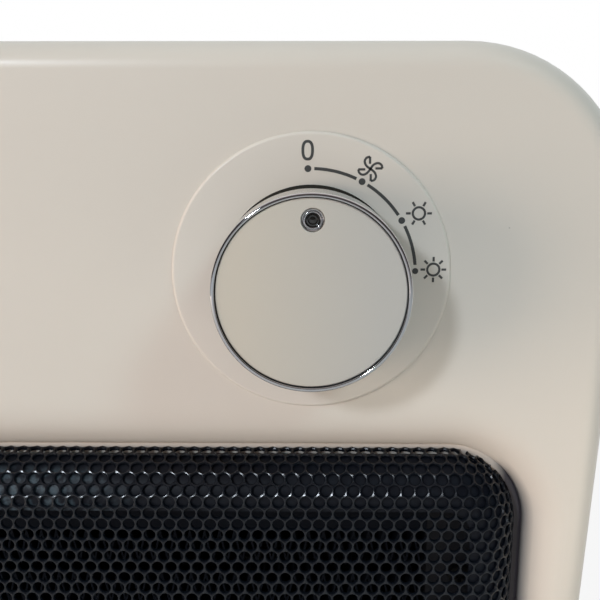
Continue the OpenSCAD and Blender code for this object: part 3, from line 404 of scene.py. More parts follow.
def paint_mouth_shade(m):
    """Painted shade: darkens a material deep in the mouth, on its left and right walls and their ledge, where the
    domed grille shades them.
    """
    wall_x, fade = mouth_half_w - 0.0011, 0.004
    unshaded_y, shaded_y = panel_y + 0.0032, panel_y + 0.0070
    mouth_low = mouth_z - mouth_half_h
    place = add_node(m, "ShaderNodeTexCoord")
    axes = laid_on(m, place, "ShaderNodeSeparateXYZ")
    from_wall = maths(m, "ABSOLUTE", maths(m, "SUBTRACT", maths(m, "ABSOLUTE", (axes, "X")), wall_x))
    amount = ramp(m, from_wall, 0.0065, 0.0030)
    for limit in (ramp(m, (axes, "Z"), mouth_top + fade, mouth_top),
                  ramp(m, (axes, "Z"), mouth_low - fade, mouth_low),
                  ramp(m, (axes, "Y"), unshaded_y, shaded_y)):
        amount = maths(m, "MULTIPLY", amount, limit)
    # The near-black colour here is painted shade.
    set_base_colour(m, mixed(m, amount, base_colour(m), (0.062, 0.055, 0.062)))


def cover_rings():
    """The cover's skin: side, rounded edge, panel, mouth, ledge, then back along the inside to the seam."""
    seam_edge = 0.0003
    shoulder_w = 0.0135
    rim_gap = 0.0006
    high_w = side_x(mouth_z + mouth_half_h - mouth_corner) - front_round - support - rim_gap - mouth_half_w
    low_w = side_x(mouth_z - mouth_half_h + mouth_corner) - front_round - support - rim_gap - mouth_half_w
    shoulder_turn = math.radians(47)
    shoulder_drop = 0.0050
    lip_r = 0.0020
    lip_w = lip_r * (1 - math.sin(shoulder_turn))
    ledge_w = 0.0041
    ledge_front = cover_front - ledge_depth
    ledge_back = ledge_front - 0.0024
    foot_r = 0.0006
    rings = [(body_outline(seam_edge), cover_seam), (body_outline(0), cover_seam + seam_edge),
             (body_outline(0), cover_front - front_round - support)]
    rings += [(body_outline(front_round * across), cover_front - front_round * (1 - along))
              for across, along in quarter_round(10)]
    rings.append((body_outline(front_round + support), cover_front))
    shoulder_steps = 14
    for i in range(shoulder_steps + 1):
        t = i / shoulder_steps
        out, high_out, low_out = (w - (w - lip_w) * t ** power
                                  for w, power in ((shoulder_w, 1.0), (high_w, 1.35), (low_w, 1.35)))
        rings.append((mouth_outline(-out, -high_out, -low_out), cover_front - shoulder_drop * t ** 2.7))
    lip_steps = 6
    for i in range(1, lip_steps + 1):
        turn = shoulder_turn + (math.pi / 2 - shoulder_turn) * i / lip_steps
        rings.append((mouth_outline(-lip_r * (1 - math.sin(turn))),
                      cover_front - shoulder_drop - lip_r * (math.cos(shoulder_turn) - math.cos(turn))))
    rings.append((mouth_outline(0), ledge_front + foot_r + support))
    rings += [(mouth_outline(foot_r * across), ledge_front + foot_r * (1 - along))
              for across, along in quarter_round(4)]
    rings += [(mouth_outline(foot_r + support), ledge_front),
              (mouth_outline(ledge_w - 0.0004), ledge_front), (mouth_outline(ledge_w), ledge_front - 0.0004),
              (mouth_outline(ledge_w), ledge_back), (mouth_outline(-wall), ledge_back),
              (mouth_outline(-wall), cover_front - wall - shoulder_drop),
              (mouth_outline(-shoulder_w, -high_w, -low_w), cover_front - wall)]
    inner_round = front_round - wall
    rings += [(body_outline(wall + inner_round * (1 - along)), cover_front - wall - inner_round * across)
              for across, along in quarter_round(6)]
    tongue_in = wall / 2 + 0.0001
    tongue_end = cover_seam - 0.0025
    rings += [(body_outline(wall), tongue_end), (body_outline(tongue_in), tongue_end),
              (body_outline(tongue_in), cover_seam)]
    return rings


cream = (0.630, 0.590, 0.525)
cover_cream = moulded_plastic("cover_cream", cream, 0.33, grain=0.035, mottle=0.03)
# The mouth walls carry painted shade next to the grille.
paint_mouth_shade(cover_cream)
cover_shell = add_piece("cover_shell", ring_solid(cover_rings(), True), "housing", cover_cream)
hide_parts("front_cover")


# Outlet grille
# A steel sheet punched full of round holes in rows that are half a pitch out of step,
# drawn over a form with a rolled edge, and dipped in black gloss enamel. Its rim stands on the mouth's ledge.
sheet_gap = 0.0017
grille_half_w = mouth_half_w - sheet_gap
grille_half_h = mouth_half_h - sheet_gap
grille_corner = mouth_corner - sheet_gap
grille_roll = 0.011
grille_front = cover_front + 0.003
grille_foot = cover_front - ledge_depth
hole_pitch = 0.003226
hole_row = hole_pitch * math.sqrt(3) / 2
hole_r = 0.00130
sheet_t = 0.0009


def punched_cell():
    """One hexagon of the sheet with its hole: crown, rounded rim, wall and back."""
    sides = 12
    saddle, rim_w, rim_drop, wall_top = 0.00007, 0.00016, 0.00012, 0.00045
    hexagon = [hole_pitch / math.sqrt(3) if k % 2 else hole_pitch / 2 for k in range(sides)]
    levels = [
        (hexagon, [0.0 if k % 2 else -saddle for k in range(sides)]),
        ([hole_r + rim_w] * sides, [-rim_drop] * sides),
        ([hole_r] * sides, [-wall_top] * sides),
        (hexagon, [-sheet_t] * sides)]
    mesh = bmesh.new()
    rows = []
    for radii, heights in levels:
        rows.append([mesh.verts.new((radii[k] * math.cos(math.pi * k / 6), radii[k] * math.sin(math.pi * k / 6),
                                     heights[k])) for k in range(sides)])
    back_rim = [mesh.verts.new((hole_r * math.cos(math.pi * k / 6), hole_r * math.sin(math.pi * k / 6), -sheet_t))
                for k in range(sides)]
    order = [rows[0], rows[1], rows[2], back_rim, rows[3]]
    for near, far in zip(order, order[1:]):
        for k in range(sides):
            mesh.faces.new((near[k], near[(k + 1) % sides], far[(k + 1) % sides], far[k]))
    data = bpy.data.meshes.new("punched_cell")
    mesh.to_mesh(data)
    mesh.free()
    cell = bpy.data.objects.new("punched_cell", data)
    scene.collection.objects.link(cell)
    return cell


def punched_sheet_tree():
    """Geometry Nodes: cells on a staggered grid, joined into one flat sheet."""
    tree = bpy.data.node_groups.new("punched_sheet", "GeometryNodeTree")
    face = tree.interface
    face.new_socket(name="Sheet", in_out="OUTPUT", socket_type="NodeSocketGeometry")
    for name, kind in (("Cell", "Object"), ("Columns", "Int"), ("Rows", "Int"), ("Pitch", "Float"),
                       ("Row pitch", "Float"), ("Enamel", "Material")):
        face.new_socket(name=name, in_out="INPUT", socket_type="NodeSocket" + kind)
    given = tree.nodes.new("NodeGroupInput")
    made = tree.nodes.new("NodeGroupOutput")
    link = tree.links.new

    def maths(operation, a, b):
        node = tree.nodes.new("ShaderNodeMath")
        node.operation = operation
        for i, value in enumerate((a, b)):
            if hasattr(value, "is_output"):
                link(value, node.inputs[i])
            elif value is not None:
                node.inputs[i].default_value = value
        return node.outputs[0]

    grid = tree.nodes.new("GeometryNodeMeshGrid")
    columns = given.outputs["Columns"]
    rows = given.outputs["Rows"]
    link(columns, grid.inputs["Vertices X"])
    link(rows, grid.inputs["Vertices Y"])
    link(maths("MULTIPLY", maths("SUBTRACT", columns, 1.0), given.outputs["Pitch"]), grid.inputs["Size X"])
    link(maths("MULTIPLY", maths("SUBTRACT", rows, 1.0), given.outputs["Row pitch"]), grid.inputs["Size Y"])
    place = tree.nodes.new("GeometryNodeInputPosition")
    split = tree.nodes.new("ShaderNodeSeparateXYZ")
    link(place.outputs[0], split.inputs[0])
    row = maths("ROUND", maths("DIVIDE", split.outputs["Y"], given.outputs["Row pitch"]), None)
    odd = maths("FLOORED_MODULO", row, 2.0)
    shift = tree.nodes.new("ShaderNodeCombineXYZ")
    link(maths("MULTIPLY", odd, maths("MULTIPLY", given.outputs["Pitch"], 0.5)), shift.inputs["X"])
    stagger = tree.nodes.new("GeometryNodeSetPosition")
    link(grid.outputs["Mesh"], stagger.inputs["Geometry"])
    link(shift.outputs[0], stagger.inputs["Offset"])
    cell = tree.nodes.new("GeometryNodeObjectInfo")
    link(given.outputs["Cell"], cell.inputs["Object"])
    repeat = tree.nodes.new("GeometryNodeInstanceOnPoints")
    link(stagger.outputs["Geometry"], repeat.inputs["Points"])
    link(cell.outputs["Geometry"], repeat.inputs["Instance"])
    realize = tree.nodes.new("GeometryNodeRealizeInstances")
    link(repeat.outputs["Instances"], realize.inputs[0])
    weld = tree.nodes.new("GeometryNodeMergeByDistance")
    weld.inputs["Distance"].default_value = 0.00002
    link(realize.outputs[0], weld.inputs["Geometry"])
    enamel = tree.nodes.new("GeometryNodeSetMaterial")
    link(weld.outputs[0], enamel.inputs["Geometry"])
    link(given.outputs["Enamel"], enamel.inputs["Material"])
    link(enamel.outputs[0], made.inputs[0])
    return tree


def made_by_nodes(name, tree, values):
    """The mesh that a tree makes from the values of its named inputs."""
    host = bpy.data.objects.new(name, bpy.data.meshes.new(name))
    scene.collection.objects.link(host)
    modifier = host.modifiers.new("made", "NODES")
    modifier.node_group = tree
    for item in tree.interface.items_tree:
        if item.in_out == "INPUT" and item.name in values:
            modifier[item.identifier] = values[item.name]
    bpy.context.view_layer.update()
    made = bpy.data.meshes.new_from_object(host.evaluated_get(bpy.context.evaluated_depsgraph_get()))
    host.modifiers.remove(modifier)
    bpy.data.objects.remove(host)
    return made


def rounded_distance(p, half_w, half_h, corner):
    """Distance outside a rounded rectangle, and the direction away from it, for an array of points."""
    q = np.abs(p) - np.array([half_w - corner, half_h - corner])
    outside = np.maximum(q, 0)
    length = np.linalg.norm(outside, axis=1)
    inner = np.minimum(np.max(q, axis=1), 0)
    away = np.where(length[:, None] > 1e-9, outside / np.maximum(length, 1e-9)[:, None],
                    np.where(q[:, :1] > q[:, 1:], [[1.0, 0.0]], [[0.0, 1.0]]))
    return length + inner - corner, away * np.sign(p)


def drawn_grille(sheet, keep):
    """Cuts the flat sheet to its blank and draws it over the form. keep picks the cells of one piece."""
    co = np.empty(len(sheet.vertices) * 3)
    sheet.vertices.foreach_get("co", co)
    co = co.reshape(-1, 3)
    flat = (grille_half_w - grille_roll, grille_half_h - grille_roll, grille_corner - grille_roll)
    away, direction = rounded_distance(co[:, :2], *flat)
    rolled = grille_roll * math.pi / 2
    blank = rolled + (grille_front - grille_roll - grille_foot)
    reach = np.clip(away, 0, blank)
    angle = np.minimum(reach, rolled) / grille_roll
    radius = grille_roll + co[:, 2]
    across = np.where(away > 0, radius * np.sin(angle), 0)
    drop = np.where(away > 0, grille_roll - radius * np.cos(angle), -co[:, 2])
    drop = drop + np.maximum(reach - rolled, 0)
    base = co[:, :2] - direction * np.maximum(away, 0)[:, None]
    placed = base + direction * across[:, None]
    mesh = bmesh.new()
    mesh.from_mesh(sheet)
    mesh.verts.ensure_lookup_table()
    doomed = [f for f in mesh.faces
              if not keep(f.calc_center_median()) or min(away[v.index] for v in f.verts) > blank - 1e-7]
    for i, v in enumerate(mesh.verts):
        v.co = (placed[i, 0], -(grille_front - drop[i]), mouth_z + placed[i, 1])
    bmesh.ops.delete(mesh, geom=doomed, context="FACES")
    bmesh.ops.dissolve_degenerate(mesh, edges=mesh.edges, dist=1e-6)
    return mesh


def black_enamel():
    """Black gloss enamel: near black with a blue cast, a wavy skin and duller dusty places."""
    m, _, place = new_material("grille_enamel")
    pool = laid_on(m, place, "ShaderNodeTexNoise", Scale=420.0, Detail=2.0)
    set_base_colour(m, mixed(m, (pool, "Fac"), (0.0025, 0.0038, 0.0065), (0.0050, 0.0070, 0.0110)))
    vary_gloss(m, pool, 0.16, 0.30)
    raise_surface(m, pool, 0.25)
    return m


grille_enamel = black_enamel()
cell_object = punched_cell()
sheet_w = 2 * (grille_half_w + grille_roll)
sheet_h = 2 * (grille_half_h + grille_roll)
flat_sheet = made_by_nodes("flat_sheet", punched_sheet_tree(), {
    "Cell": cell_object, "Columns": math.ceil(sheet_w / hole_pitch) | 1, "Rows": math.ceil(sheet_h / hole_row) | 1,
    "Pitch": hole_pitch, "Row pitch": hole_row, "Enamel": grille_enamel})
bpy.data.objects.remove(cell_object)
split_x = 0.0  # two pieces, which meet at x = 0; two pieces, so that each stays small enough for its STL file
halves = {"grille_sheet_left": lambda c: c.x < split_x, "grille_sheet_right": lambda c: c.x >= split_x}
for half_name, keep_cells in halves.items():
    half = add_piece(half_name, drawn_grille(flat_sheet, keep_cells), "housing", grille_enamel, 24)
    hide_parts("outlet_grille")


# Grille flange
# The unpunched band that stiffens the sheet's rim on the inside. It follows the roll and ends in a short flat lip
# behind the sheet's front. Its dark steel also keeps the holes over the roll dark, as painted shade. A bluish
# patch on its top is a painted reflection.
def flange_rings():
    gap = sheet_t + 0.00015
    thick = 0.0008
    back_angle, front_angle, lip = math.radians(80), 0.0, 0.0015
    outer, inner = [], []
    for i in range(13):
        a = back_angle + (front_angle - back_angle) * i / 12
        for side, r in ((outer, grille_roll - gap), (inner, grille_roll - gap - thick)):
            side.append((sheet_gap + grille_roll - r * math.sin(a), grille_front - grille_roll + r * math.cos(a)))
    outer.append((outer[-1][0] + lip, outer[-1][1]))
    inner.append((inner[-1][0] + lip, inner[-1][1]))
    return [(mouth_outline(inset), d) for inset, d in outer + inner[::-1]]


def sheen_patch_steel():
    """Dull dark steel band with a painted bluish reflection clouded over the left half of its top."""
    m, bsdf, place = new_material("sheen_patch_steel")
    bsdf.inputs["Specular IOR Level"].default_value = 0.2
    cloud = laid_on(m, place, "ShaderNodeTexNoise", Scale=300.0, Detail=4.0, Roughness=0.6)
    axes = laid_on(m, place, "ShaderNodeSeparateXYZ")
    sheen_x, plain_x = -0.018, 0.006
    sheen_z, plain_z = 0.0118, 0.0142
    share = ramp(m, (cloud, "Fac"), 0.44, 0.60)
    for limit in (ramp(m, (axes, "X"), sheen_x, plain_x, 1.0, 0.04), ramp(m, (axes, "Z"), plain_z, sheen_z)):
        share = maths(m, "MULTIPLY", share, limit)
    # The bluish colour is a painted reflection on the band's top left.
    set_base_colour(m, mixed(m, share, (0.005, 0.006, 0.010), (0.070, 0.095, 0.112)))
    vary_gloss(m, cloud, 0.32, 0.55)
    raise_surface(m, cloud, 0.15)
    return m


flange = add_piece("grille_flange", ring_solid(flange_rings(), True), "housing", sheen_patch_steel(), 60)
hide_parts("outlet_grille")


# Dial plate
# A thin cream disc glued round the knob's shaft, with a bevel on its edge.
def circle(x, z, r, sides):
    """Points of a circle, clockwise from straight up."""
    return [(x + r * math.sin(2 * math.pi * k / sides), z + r * math.cos(2 * math.pi * k / sides))
            for k in range(sides)]


def lathe(profile, x, z, segments=160):
    """Mesh code for a closed profile of (radius, distance from the wall), turned about an axis along the depth."""
    return ring_solid([(circle(x, z, r, segments), d) for r, d in profile], True)


def round_corner(r, d, radius, start, steps=5):
    """Points of a rounded corner about the centre (r, d); start is the angle from the outward side."""
    return [(r + radius * math.cos(math.radians(start + 90 * i / steps)),
             d + radius * math.sin(math.radians(start + 90 * i / steps))) for i in range(steps + 1)]


dial_r = (dial_high.x - dial_low.x) / 2
dial_front = -dial_low.y
dial_hole_r = 0.0065
dial_bevel = 0.00045
foot_gap = 0.00012
dial_profile = [(dial_hole_r, cover_front), (dial_r - 2 * foot_gap, cover_front),
                (dial_r - 2 * foot_gap, cover_front + foot_gap), (dial_r, cover_front + foot_gap),
                (dial_r, dial_front - dial_bevel - 0.00003), (dial_r - 0.00003, dial_front - dial_bevel),
                (dial_r - dial_bevel + 0.00003, dial_front - 0.00004), (dial_r - dial_bevel - 0.00004, dial_front),
                (dial_r - dial_bevel - support, dial_front), (dial_hole_r, dial_front)]
dial_cream = moulded_plastic("dial_cream", (0.640, 0.603, 0.540), 0.30, grain=0.03, mottle=0.02)
dial_disc = add_piece("dial_disc", lathe(dial_profile, knob_x, knob_z), "housing", dial_cream)
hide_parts("dial_plate")


# Dial marks
# Grey ink printed on the dial plate: 0, a fan, a sun with six rays and a sun with eight,
# with a dot for each stop and arcs from dot to dot.
ink_front = dial_front + 0.00003
ink_back = dial_front - 0.0001
stroke = 0.00050


def add_flat(mesh, points):
    """A flat closed shape on the dial, given as the two sides of a ribbon or a fan of points."""
    front = [mesh.verts.new((knob_x + x, -ink_front, knob_z + z)) for x, z in points]
    back = [mesh.verts.new((knob_x + x, -ink_back, knob_z + z)) for x, z in points]
    return front, back


def ribbon(mesh, path, width, loop=False):
    """A printed stroke of an even width along a path."""
    path = [Vector(p) for p in path]
    n = len(path)
    left, right = [], []
    for i, p in enumerate(path):
        before = path[i - 1] if loop or i else p
        after = path[(i + 1) % n] if loop or i < n - 1 else p
        along = (after - before).normalized()
        side = Vector((-along.y, along.x)) * width / 2
        left.append(p + side)
        right.append(p - side)
    lf, lb = add_flat(mesh, left)
    rf, rb = add_flat(mesh, right)
    for i in range(n if loop else n - 1):
        j = (i + 1) % n
        mesh.faces.new((lf[i], lf[j], rf[j], rf[i]))
        mesh.faces.new((lb[i], rb[i], rb[j], lb[j]))
        mesh.faces.new((lf[i], lb[i], lb[j], lf[j]))
        mesh.faces.new((rf[i], rf[j], rb[j], rb[i]))
    if not loop:
        mesh.faces.new((lf[0], rf[0], rb[0], lb[0]))
        mesh.faces.new((lf[-1], lb[-1], rb[-1], rf[-1]))


def dot(mesh, x, z, r):
    """A printed round dot."""
    sides = 24
    front, back = add_flat(mesh, circle(x, z, r, sides))
    mesh.faces.new(front)
    mesh.faces.new(back[::-1])
    for k in range(sides):
        j = (k + 1) % sides
        mesh.faces.new((front[k], back[k], back[j], front[j]))


def sun(mesh, x, z, rays, first):
    """A ring with short rays round it."""
    ribbon(mesh, circle(x, z, 0.00135, 32), stroke, loop=True)
    for k in range(rays):
        a = math.radians(first) + 2 * math.pi * k / rays
        ribbon(mesh, [(x + r * math.sin(a), z + r * math.cos(a)) for r in (0.00182, 0.00286)], stroke)


def smooth_path(points, steps=6):
    """A smooth curve through a few points."""
    p = [Vector(points[0])] + [Vector(q) for q in points] + [Vector(points[-1])]
    out = []
    for i in range(1, len(p) - 2):
        for k in range(steps):
            t = k / steps
            out.append(0.5 * (2 * p[i] + (p[i + 1] - p[i - 1]) * t
                              + (2 * p[i - 1] - 5 * p[i] + 4 * p[i + 1] - p[i + 2]) * t * t
                              + (3 * p[i] - p[i - 1] - 3 * p[i + 1] + p[i + 2]) * t ** 3))
    return out + [Vector(points[-1])]


def fan_sign(mesh, x, z):
    """Four curved blades, each a straight edge and a bow that meets the others in the middle."""
    blade = [(-0.0001, 0.0026), (-0.00085, 0.00240), (-0.00125, 0.00165), (-0.00090, 0.00070), (0.0, 0.0)]
    edge = [(-0.0001, 0.00262), (-0.0001, 0.0011)]
    for k in range(4):
        turn = Matrix.Rotation(-math.pi / 2 * k, 2)
        for path in (smooth_path(blade), edge):
            ribbon(mesh, [turn @ Vector(p) + Vector((x, z)) for p in path], stroke)


def zero_sign(mesh, x, z):
    """An upright oval for the off position."""
    half_w, half_h, sides = 0.00105, 0.00190, 48
    path = []
    for k in range(sides):
        a = 2 * math.pi * k / sides
        s, c = math.sin(a), math.cos(a)
        path.append((x + half_w * math.copysign(abs(s) ** 0.8, s), z + half_h * math.copysign(abs(c) ** 0.8, c)))
    ribbon(mesh, path, 0.00062, loop=True)


def printed_marks():
    mesh = bmesh.new()
    scale_r = 0.0233
    stops = [math.radians(a) for a in (-1.8, 28.5, 59.1, 88.4)]
    gap_turn = 0.00140 / scale_r
    for i, a in enumerate(stops):
        dot(mesh, scale_r * math.sin(a), scale_r * math.cos(a), 0.00075 if i < 3 else 0.00068)
        if i < 3:
            run = stops[i + 1] - a - 2 * gap_turn
            turns = [a + gap_turn + run * k / 16 for k in range(17)]
            ribbon(mesh, [(scale_r * math.sin(t), scale_r * math.cos(t)) for t in turns], 0.00070)
    zero_sign(mesh, -0.00079, 0.02724)
    fan_sign(mesh, 0.01288, 0.02323)
    sun(mesh, 0.02374, 0.01355, 6, 90)
    sun(mesh, 0.02732, 0.00100, 8, 0)
    bmesh.ops.recalc_face_normals(mesh, faces=mesh.faces)
    return mesh


dial_ink = moulded_plastic("dial_ink", (0.055, 0.057, 0.055), 0.45, grain=0.1, grain_scale=1800.0, mottle=0.15)
add_piece("dial_marks", printed_marks(), "housing", dial_ink)


# Knob skirt
# A chromed tube with a rounded front rim, over a dark base ring that is painted shade for the shade and dark
# reflection at the skirt's foot.
# Both turn with the knob, half a millimetre off the dial plate.
skirt_low, skirt_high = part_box("knob_skirt")
knob_r = (skirt_high.x - skirt_low.x) / 2
knob_back = -skirt_high.y
knob_front = -skirt_low.y


def polished_chrome(name, roughness, tone):
    """Chrome plating with faint ripples of the plastic under it."""
    m, bsdf, place = new_material(name)
    bsdf.inputs["Metallic"].default_value = 1.0
    ripple = laid_on(m, place, "ShaderNodeTexNoise", Scale=300.0, Detail=3.0)
    set_base_colour(m, mixed(m, (ripple, "Fac"), (tone * 0.93, tone * 0.93, tone * 0.94),
                             (tone * 1.07, tone * 1.07, tone * 1.08)))
    vary_gloss(m, ripple, roughness * 0.6, roughness * 1.4)
    raise_surface(m, ripple, 0.01)
    return m


rim_out = 0.00048
rim_back = 0.00022
rim_in = 0.00082
base_front = knob_back + 0.0122
base_r = knob_r - 0.00012
skirt_inner = knob_r - 0.0013
seat_front = knob_front - 0.0012
skirt_profile = [(skirt_inner, base_front), (knob_r - 0.0002, base_front), (knob_r, base_front + 0.0002),
                 (knob_r, knob_front - rim_out - 0.0002)]
skirt_profile += round_corner(knob_r - rim_out, knob_front - rim_out, rim_out, 0, 10)
skirt_profile += round_corner(knob_r - rim_in + rim_back, knob_front - rim_back, rim_back, 90, 8)
skirt_profile += [(knob_r - rim_in, seat_front), (skirt_inner, seat_front)]
knob_chrome = polished_chrome("knob_chrome", 0.06, 0.67)
skirt = add_piece("knob_chrome_skirt", lathe(skirt_profile, knob_x, knob_z, 224), "knob", knob_chrome, 50)
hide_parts("knob_skirt")
base_profile = [(skirt_inner, knob_back), (base_r - 0.0003, knob_back), (base_r, knob_back + 0.0003),
                (base_r, base_front - 0.0001), (skirt_inner, base_front - 0.0001)]
# The dark base ring is painted shade at the foot of the skirt.
painted_shade_foot = moulded_plastic("painted_shade_foot", (0.030, 0.028, 0.024), 0.60, grain=0.05, mottle=0.1, shine=0.0)
base_ring = add_piece("knob_base_ring", lathe(base_profile, knob_x, knob_z, 160), "knob", painted_shade_foot)
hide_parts("knob_skirt")


# Knob cap
# The pale, slightly domed disc in the skirt. A black ring in the floor of the gap round it is painted shade, so
# that the gap shows as a fine dark line. Its edge is bevelled.
# It has a seat for the pointer near its upper edge.
pointer_low, pointer_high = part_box("pointer_bezel")
pointer_x = knob_x + 0.00024
pointer_z = (pointer_low.z + pointer_high.z) / 2 - 0.00012
pointer_out = (pointer_high.z - pointer_low.z) / 2 - 0.00022
cap_r = knob_r - rim_in - 0.00024
cap_front = knob_front - 0.00004
cap_sag = 0.00042
cap_back = -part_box("knob_cap")[1].y


def cap_depth(x, z):
    """Distance from the wall of the domed face at a point."""
    return cap_front - cap_sag * ((x - knob_x) ** 2 + (z - knob_z) ** 2) / cap_r ** 2


def cap_mesh():
    """A domed disc with a bevelled edge and a round hole for the pointer, closed all round."""
    steps = 160
    bevel = 0.00018
    seat_r = pointer_out + 0.00012
    mesh = bmesh.new()

    def loop(cx, cz, r, sunk=0.0, back=False):
        return [mesh.verts.new((x, -(cap_back if back else cap_depth(x, z) - sunk), z))
                for x, z in circle(cx, cz, r, steps)]

    chain = [loop(knob_x, knob_z, cap_r, back=True), loop(knob_x, knob_z, cap_r, bevel),
             loop(knob_x, knob_z, cap_r - bevel), loop(knob_x, knob_z, cap_r - bevel - 0.00005)]
    face_steps = 14
    start_r, end_r = cap_r - bevel - 0.0004, seat_r + 0.0006
    for i in range(face_steps + 1):
        t = i / face_steps
        chain.append(loop(knob_x + (pointer_x - knob_x) * t, knob_z + (pointer_z - knob_z) * t,
                          start_r + (end_r - start_r) * t))
    chain += [loop(pointer_x, pointer_z, seat_r + 0.00014), loop(pointer_x, pointer_z, seat_r, 0.00014),
              loop(pointer_x, pointer_z, seat_r, back=True)]
    for near, far in zip(chain, chain[1:] + chain[:1]):
        for k in range(steps):
            mesh.faces.new((near[k], near[(k + 1) % steps], far[(k + 1) % steps], far[k]))
    bmesh.ops.recalc_face_normals(mesh, faces=mesh.faces)
    return mesh


def paint_light_across(m, lit_tint, shaded_tint):
    """Painted light: tints a material from lit_tint at the knob's left, lighter and warmer where the light falls,
    to shaded_tint at its right.
    """
    reach = 0.014
    axes = laid_on(m, add_node(m, "ShaderNodeTexCoord"), "ShaderNodeSeparateXYZ")
    multiply_colour(m, mixed(m, ramp(m, (axes, "X"), knob_x - reach, knob_x + reach), lit_tint, shaded_tint))


cap_cream = moulded_plastic("cap_cream", (0.54, 0.51, 0.455), 0.36, grain=0.03, grain_scale=3200.0, mottle=0.02)
# Painted light: the cap's left is lighter and warmer, its right cooler and darker.
paint_light_across(cap_cream, (0.98, 0.96, 0.91), (0.83, 0.87, 0.91))
cap = add_piece("knob_face", cap_mesh(), "knob", cap_cream)
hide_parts("knob_cap")
# A black ring in the floor of the gap between cap and skirt: painted shade for the gap.
gap_shade_front = cap_front - cap_sag - 0.00030
gap_shade_profile = [(cap_r + 0.00001, cap_back), (knob_r - rim_in - 0.00001, cap_back),
                (knob_r - rim_in - 0.00001, gap_shade_front), (cap_r + 0.00001, gap_shade_front)]
gap_shade_black = moulded_plastic("gap_shade_black", (0.012, 0.012, 0.011), 0.6, grain=0.05, mottle=0.2)
add_piece("cap_seal", lathe(gap_shade_profile, knob_x, knob_z, 160), "knob", gap_shade_black)


# Pointer
# A small chromed funnel pressed into the cap. A bead runs round its throat,
# and a dark glossy lens with a step sits behind it and shows the setting.
bead_r = 0.00017
bead_mid = 0.00164
seat_d = cap_depth(pointer_x, pointer_z)
bead_front = seat_d - 0.00020
pointer_back = seat_d - 0.0011
funnel_profile = [(pointer_out, pointer_back), (pointer_out, seat_d - 0.00008),
                  (pointer_out - 0.00006, seat_d - 0.00002), (pointer_out - 0.00012, seat_d - 0.00005),
                  (bead_mid + bead_r + 0.00006, bead_front - bead_r * 0.7)]
funnel_profile += [(bead_mid + bead_r * math.cos(math.radians(t)),
                    bead_front - bead_r + bead_r * math.sin(math.radians(t))) for t in range(20, 181, 20)]
funnel_profile += [(bead_mid - bead_r, pointer_back)]
pointer_chrome = polished_chrome("pointer_chrome", 0.08, 0.72)
funnel = add_piece("pointer_funnel", lathe(funnel_profile, pointer_x, pointer_z, 96), "knob",
                   pointer_chrome, 60)
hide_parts("pointer_bezel")
lens_r = bead_mid - bead_r - 0.00002
lens_edge = seat_d - 0.00075
lens_profile = [(0.00001, pointer_back), (lens_r, pointer_back), (lens_r, lens_edge)]
lens_profile += [(lens_r * math.cos(math.radians(t)), lens_edge + 0.00022 * math.sin(math.radians(t)))
                 for t in (10, 20, 30, 40, 48)]
lens_profile += [(0.00088, lens_edge - 0.00003), (0.00084, lens_edge - 0.00005),
                 (0.00050, lens_edge + 0.00003), (0.00001, lens_edge + 0.00006)]
lens_dark = moulded_plastic("lens_dark", (0.008, 0.008, 0.007), 0.10, grain=0.04, grain_scale=900.0, mottle=0.3,
                            coat=1.0)
lens = add_piece("pointer_lens", lathe(lens_profile, pointer_x, pointer_z, 64), "knob",
                 lens_dark, 40)
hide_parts("pointer_insert")


# Inner metal parts
# Screws, bracket and plates are zinc plated, shafts ground, springs and laminations dark steel, the nut and
# contacts brass. The element's tubes, fins, rails and screws and the tinned terminals are painted near black, as
# painted shade for the inside. Their CAD shapes stay.
def worked_metal(name, colour, roughness, stretch=(1.0, 1.0, 1.0), scale=900.0, wear=0.12):
    """Metal with fine tool marks drawn out along the axes of small stretch, and a slow drift of its tone."""
    m, bsdf, place = new_material(name)
    bsdf.inputs["Metallic"].default_value = 1.0
    drawn = laid_on(m, place, "ShaderNodeMapping", Scale=stretch)
    marks = add_node(m, "ShaderNodeTexNoise", Scale=scale, Detail=3.0)
    wire(m, drawn, "Vector", marks, "Vector")
    drift = laid_on(m, place, "ShaderNodeTexNoise", Scale=60.0, Detail=4.0)
    set_base_colour(m, mixed(m, (drift, "Fac"), [c * (1 - wear) for c in colour],
                             [min(1, c * (1 + wear)) for c in colour]))
    vary_gloss(m, marks, roughness * 0.7, roughness * 1.3)
    raise_surface(m, marks, 0.12, 0.0001)
    return m


flat_stretch = (1.0, 0.06, 1.0)
finishes = {
    "zinc_steel": worked_metal("zinc_plate", (0.60, 0.61, 0.62), 0.34),
    "shaft_steel": worked_metal("ground_steel", (0.62, 0.62, 0.63), 0.22, flat_stretch),
    "spring_steel": worked_metal("spring_steel", (0.42, 0.42, 0.44), 0.28, (0.08, 1.0, 1.0)),
    "laminated_steel": worked_metal("laminated_steel", (0.30, 0.30, 0.31), 0.45, (0.02, 1.0, 0.02), 2600.0),
    "brass": worked_metal("brass", (0.66, 0.50, 0.24), 0.30, flat_stretch),
    "aluminium": worked_metal("cast_aluminium", (0.58, 0.59, 0.60), 0.48, scale=420.0),
    # The element's coat, rails, terminals and screws are painted near black as painted shade inside the heater.
    "black_aluminium": moulded_plastic("shade_dark_coat", (0.007, 0.009, 0.014), 0.55, grain=0.1, grain_scale=800.0,
                                       mottle=0.3, shine=0.15),
    "rail_steel": worked_metal("shade_dark_steel", (0.022, 0.023, 0.028), 0.50, (0.05, 1.0, 1.0)),
    "terminal_tin": worked_metal("shade_dark_tin", (0.07, 0.07, 0.08), 0.50, (1.0, 1.0, 0.06))}
shade_screw = worked_metal("shade_dark_screw", (0.050, 0.048, 0.046), 0.50)


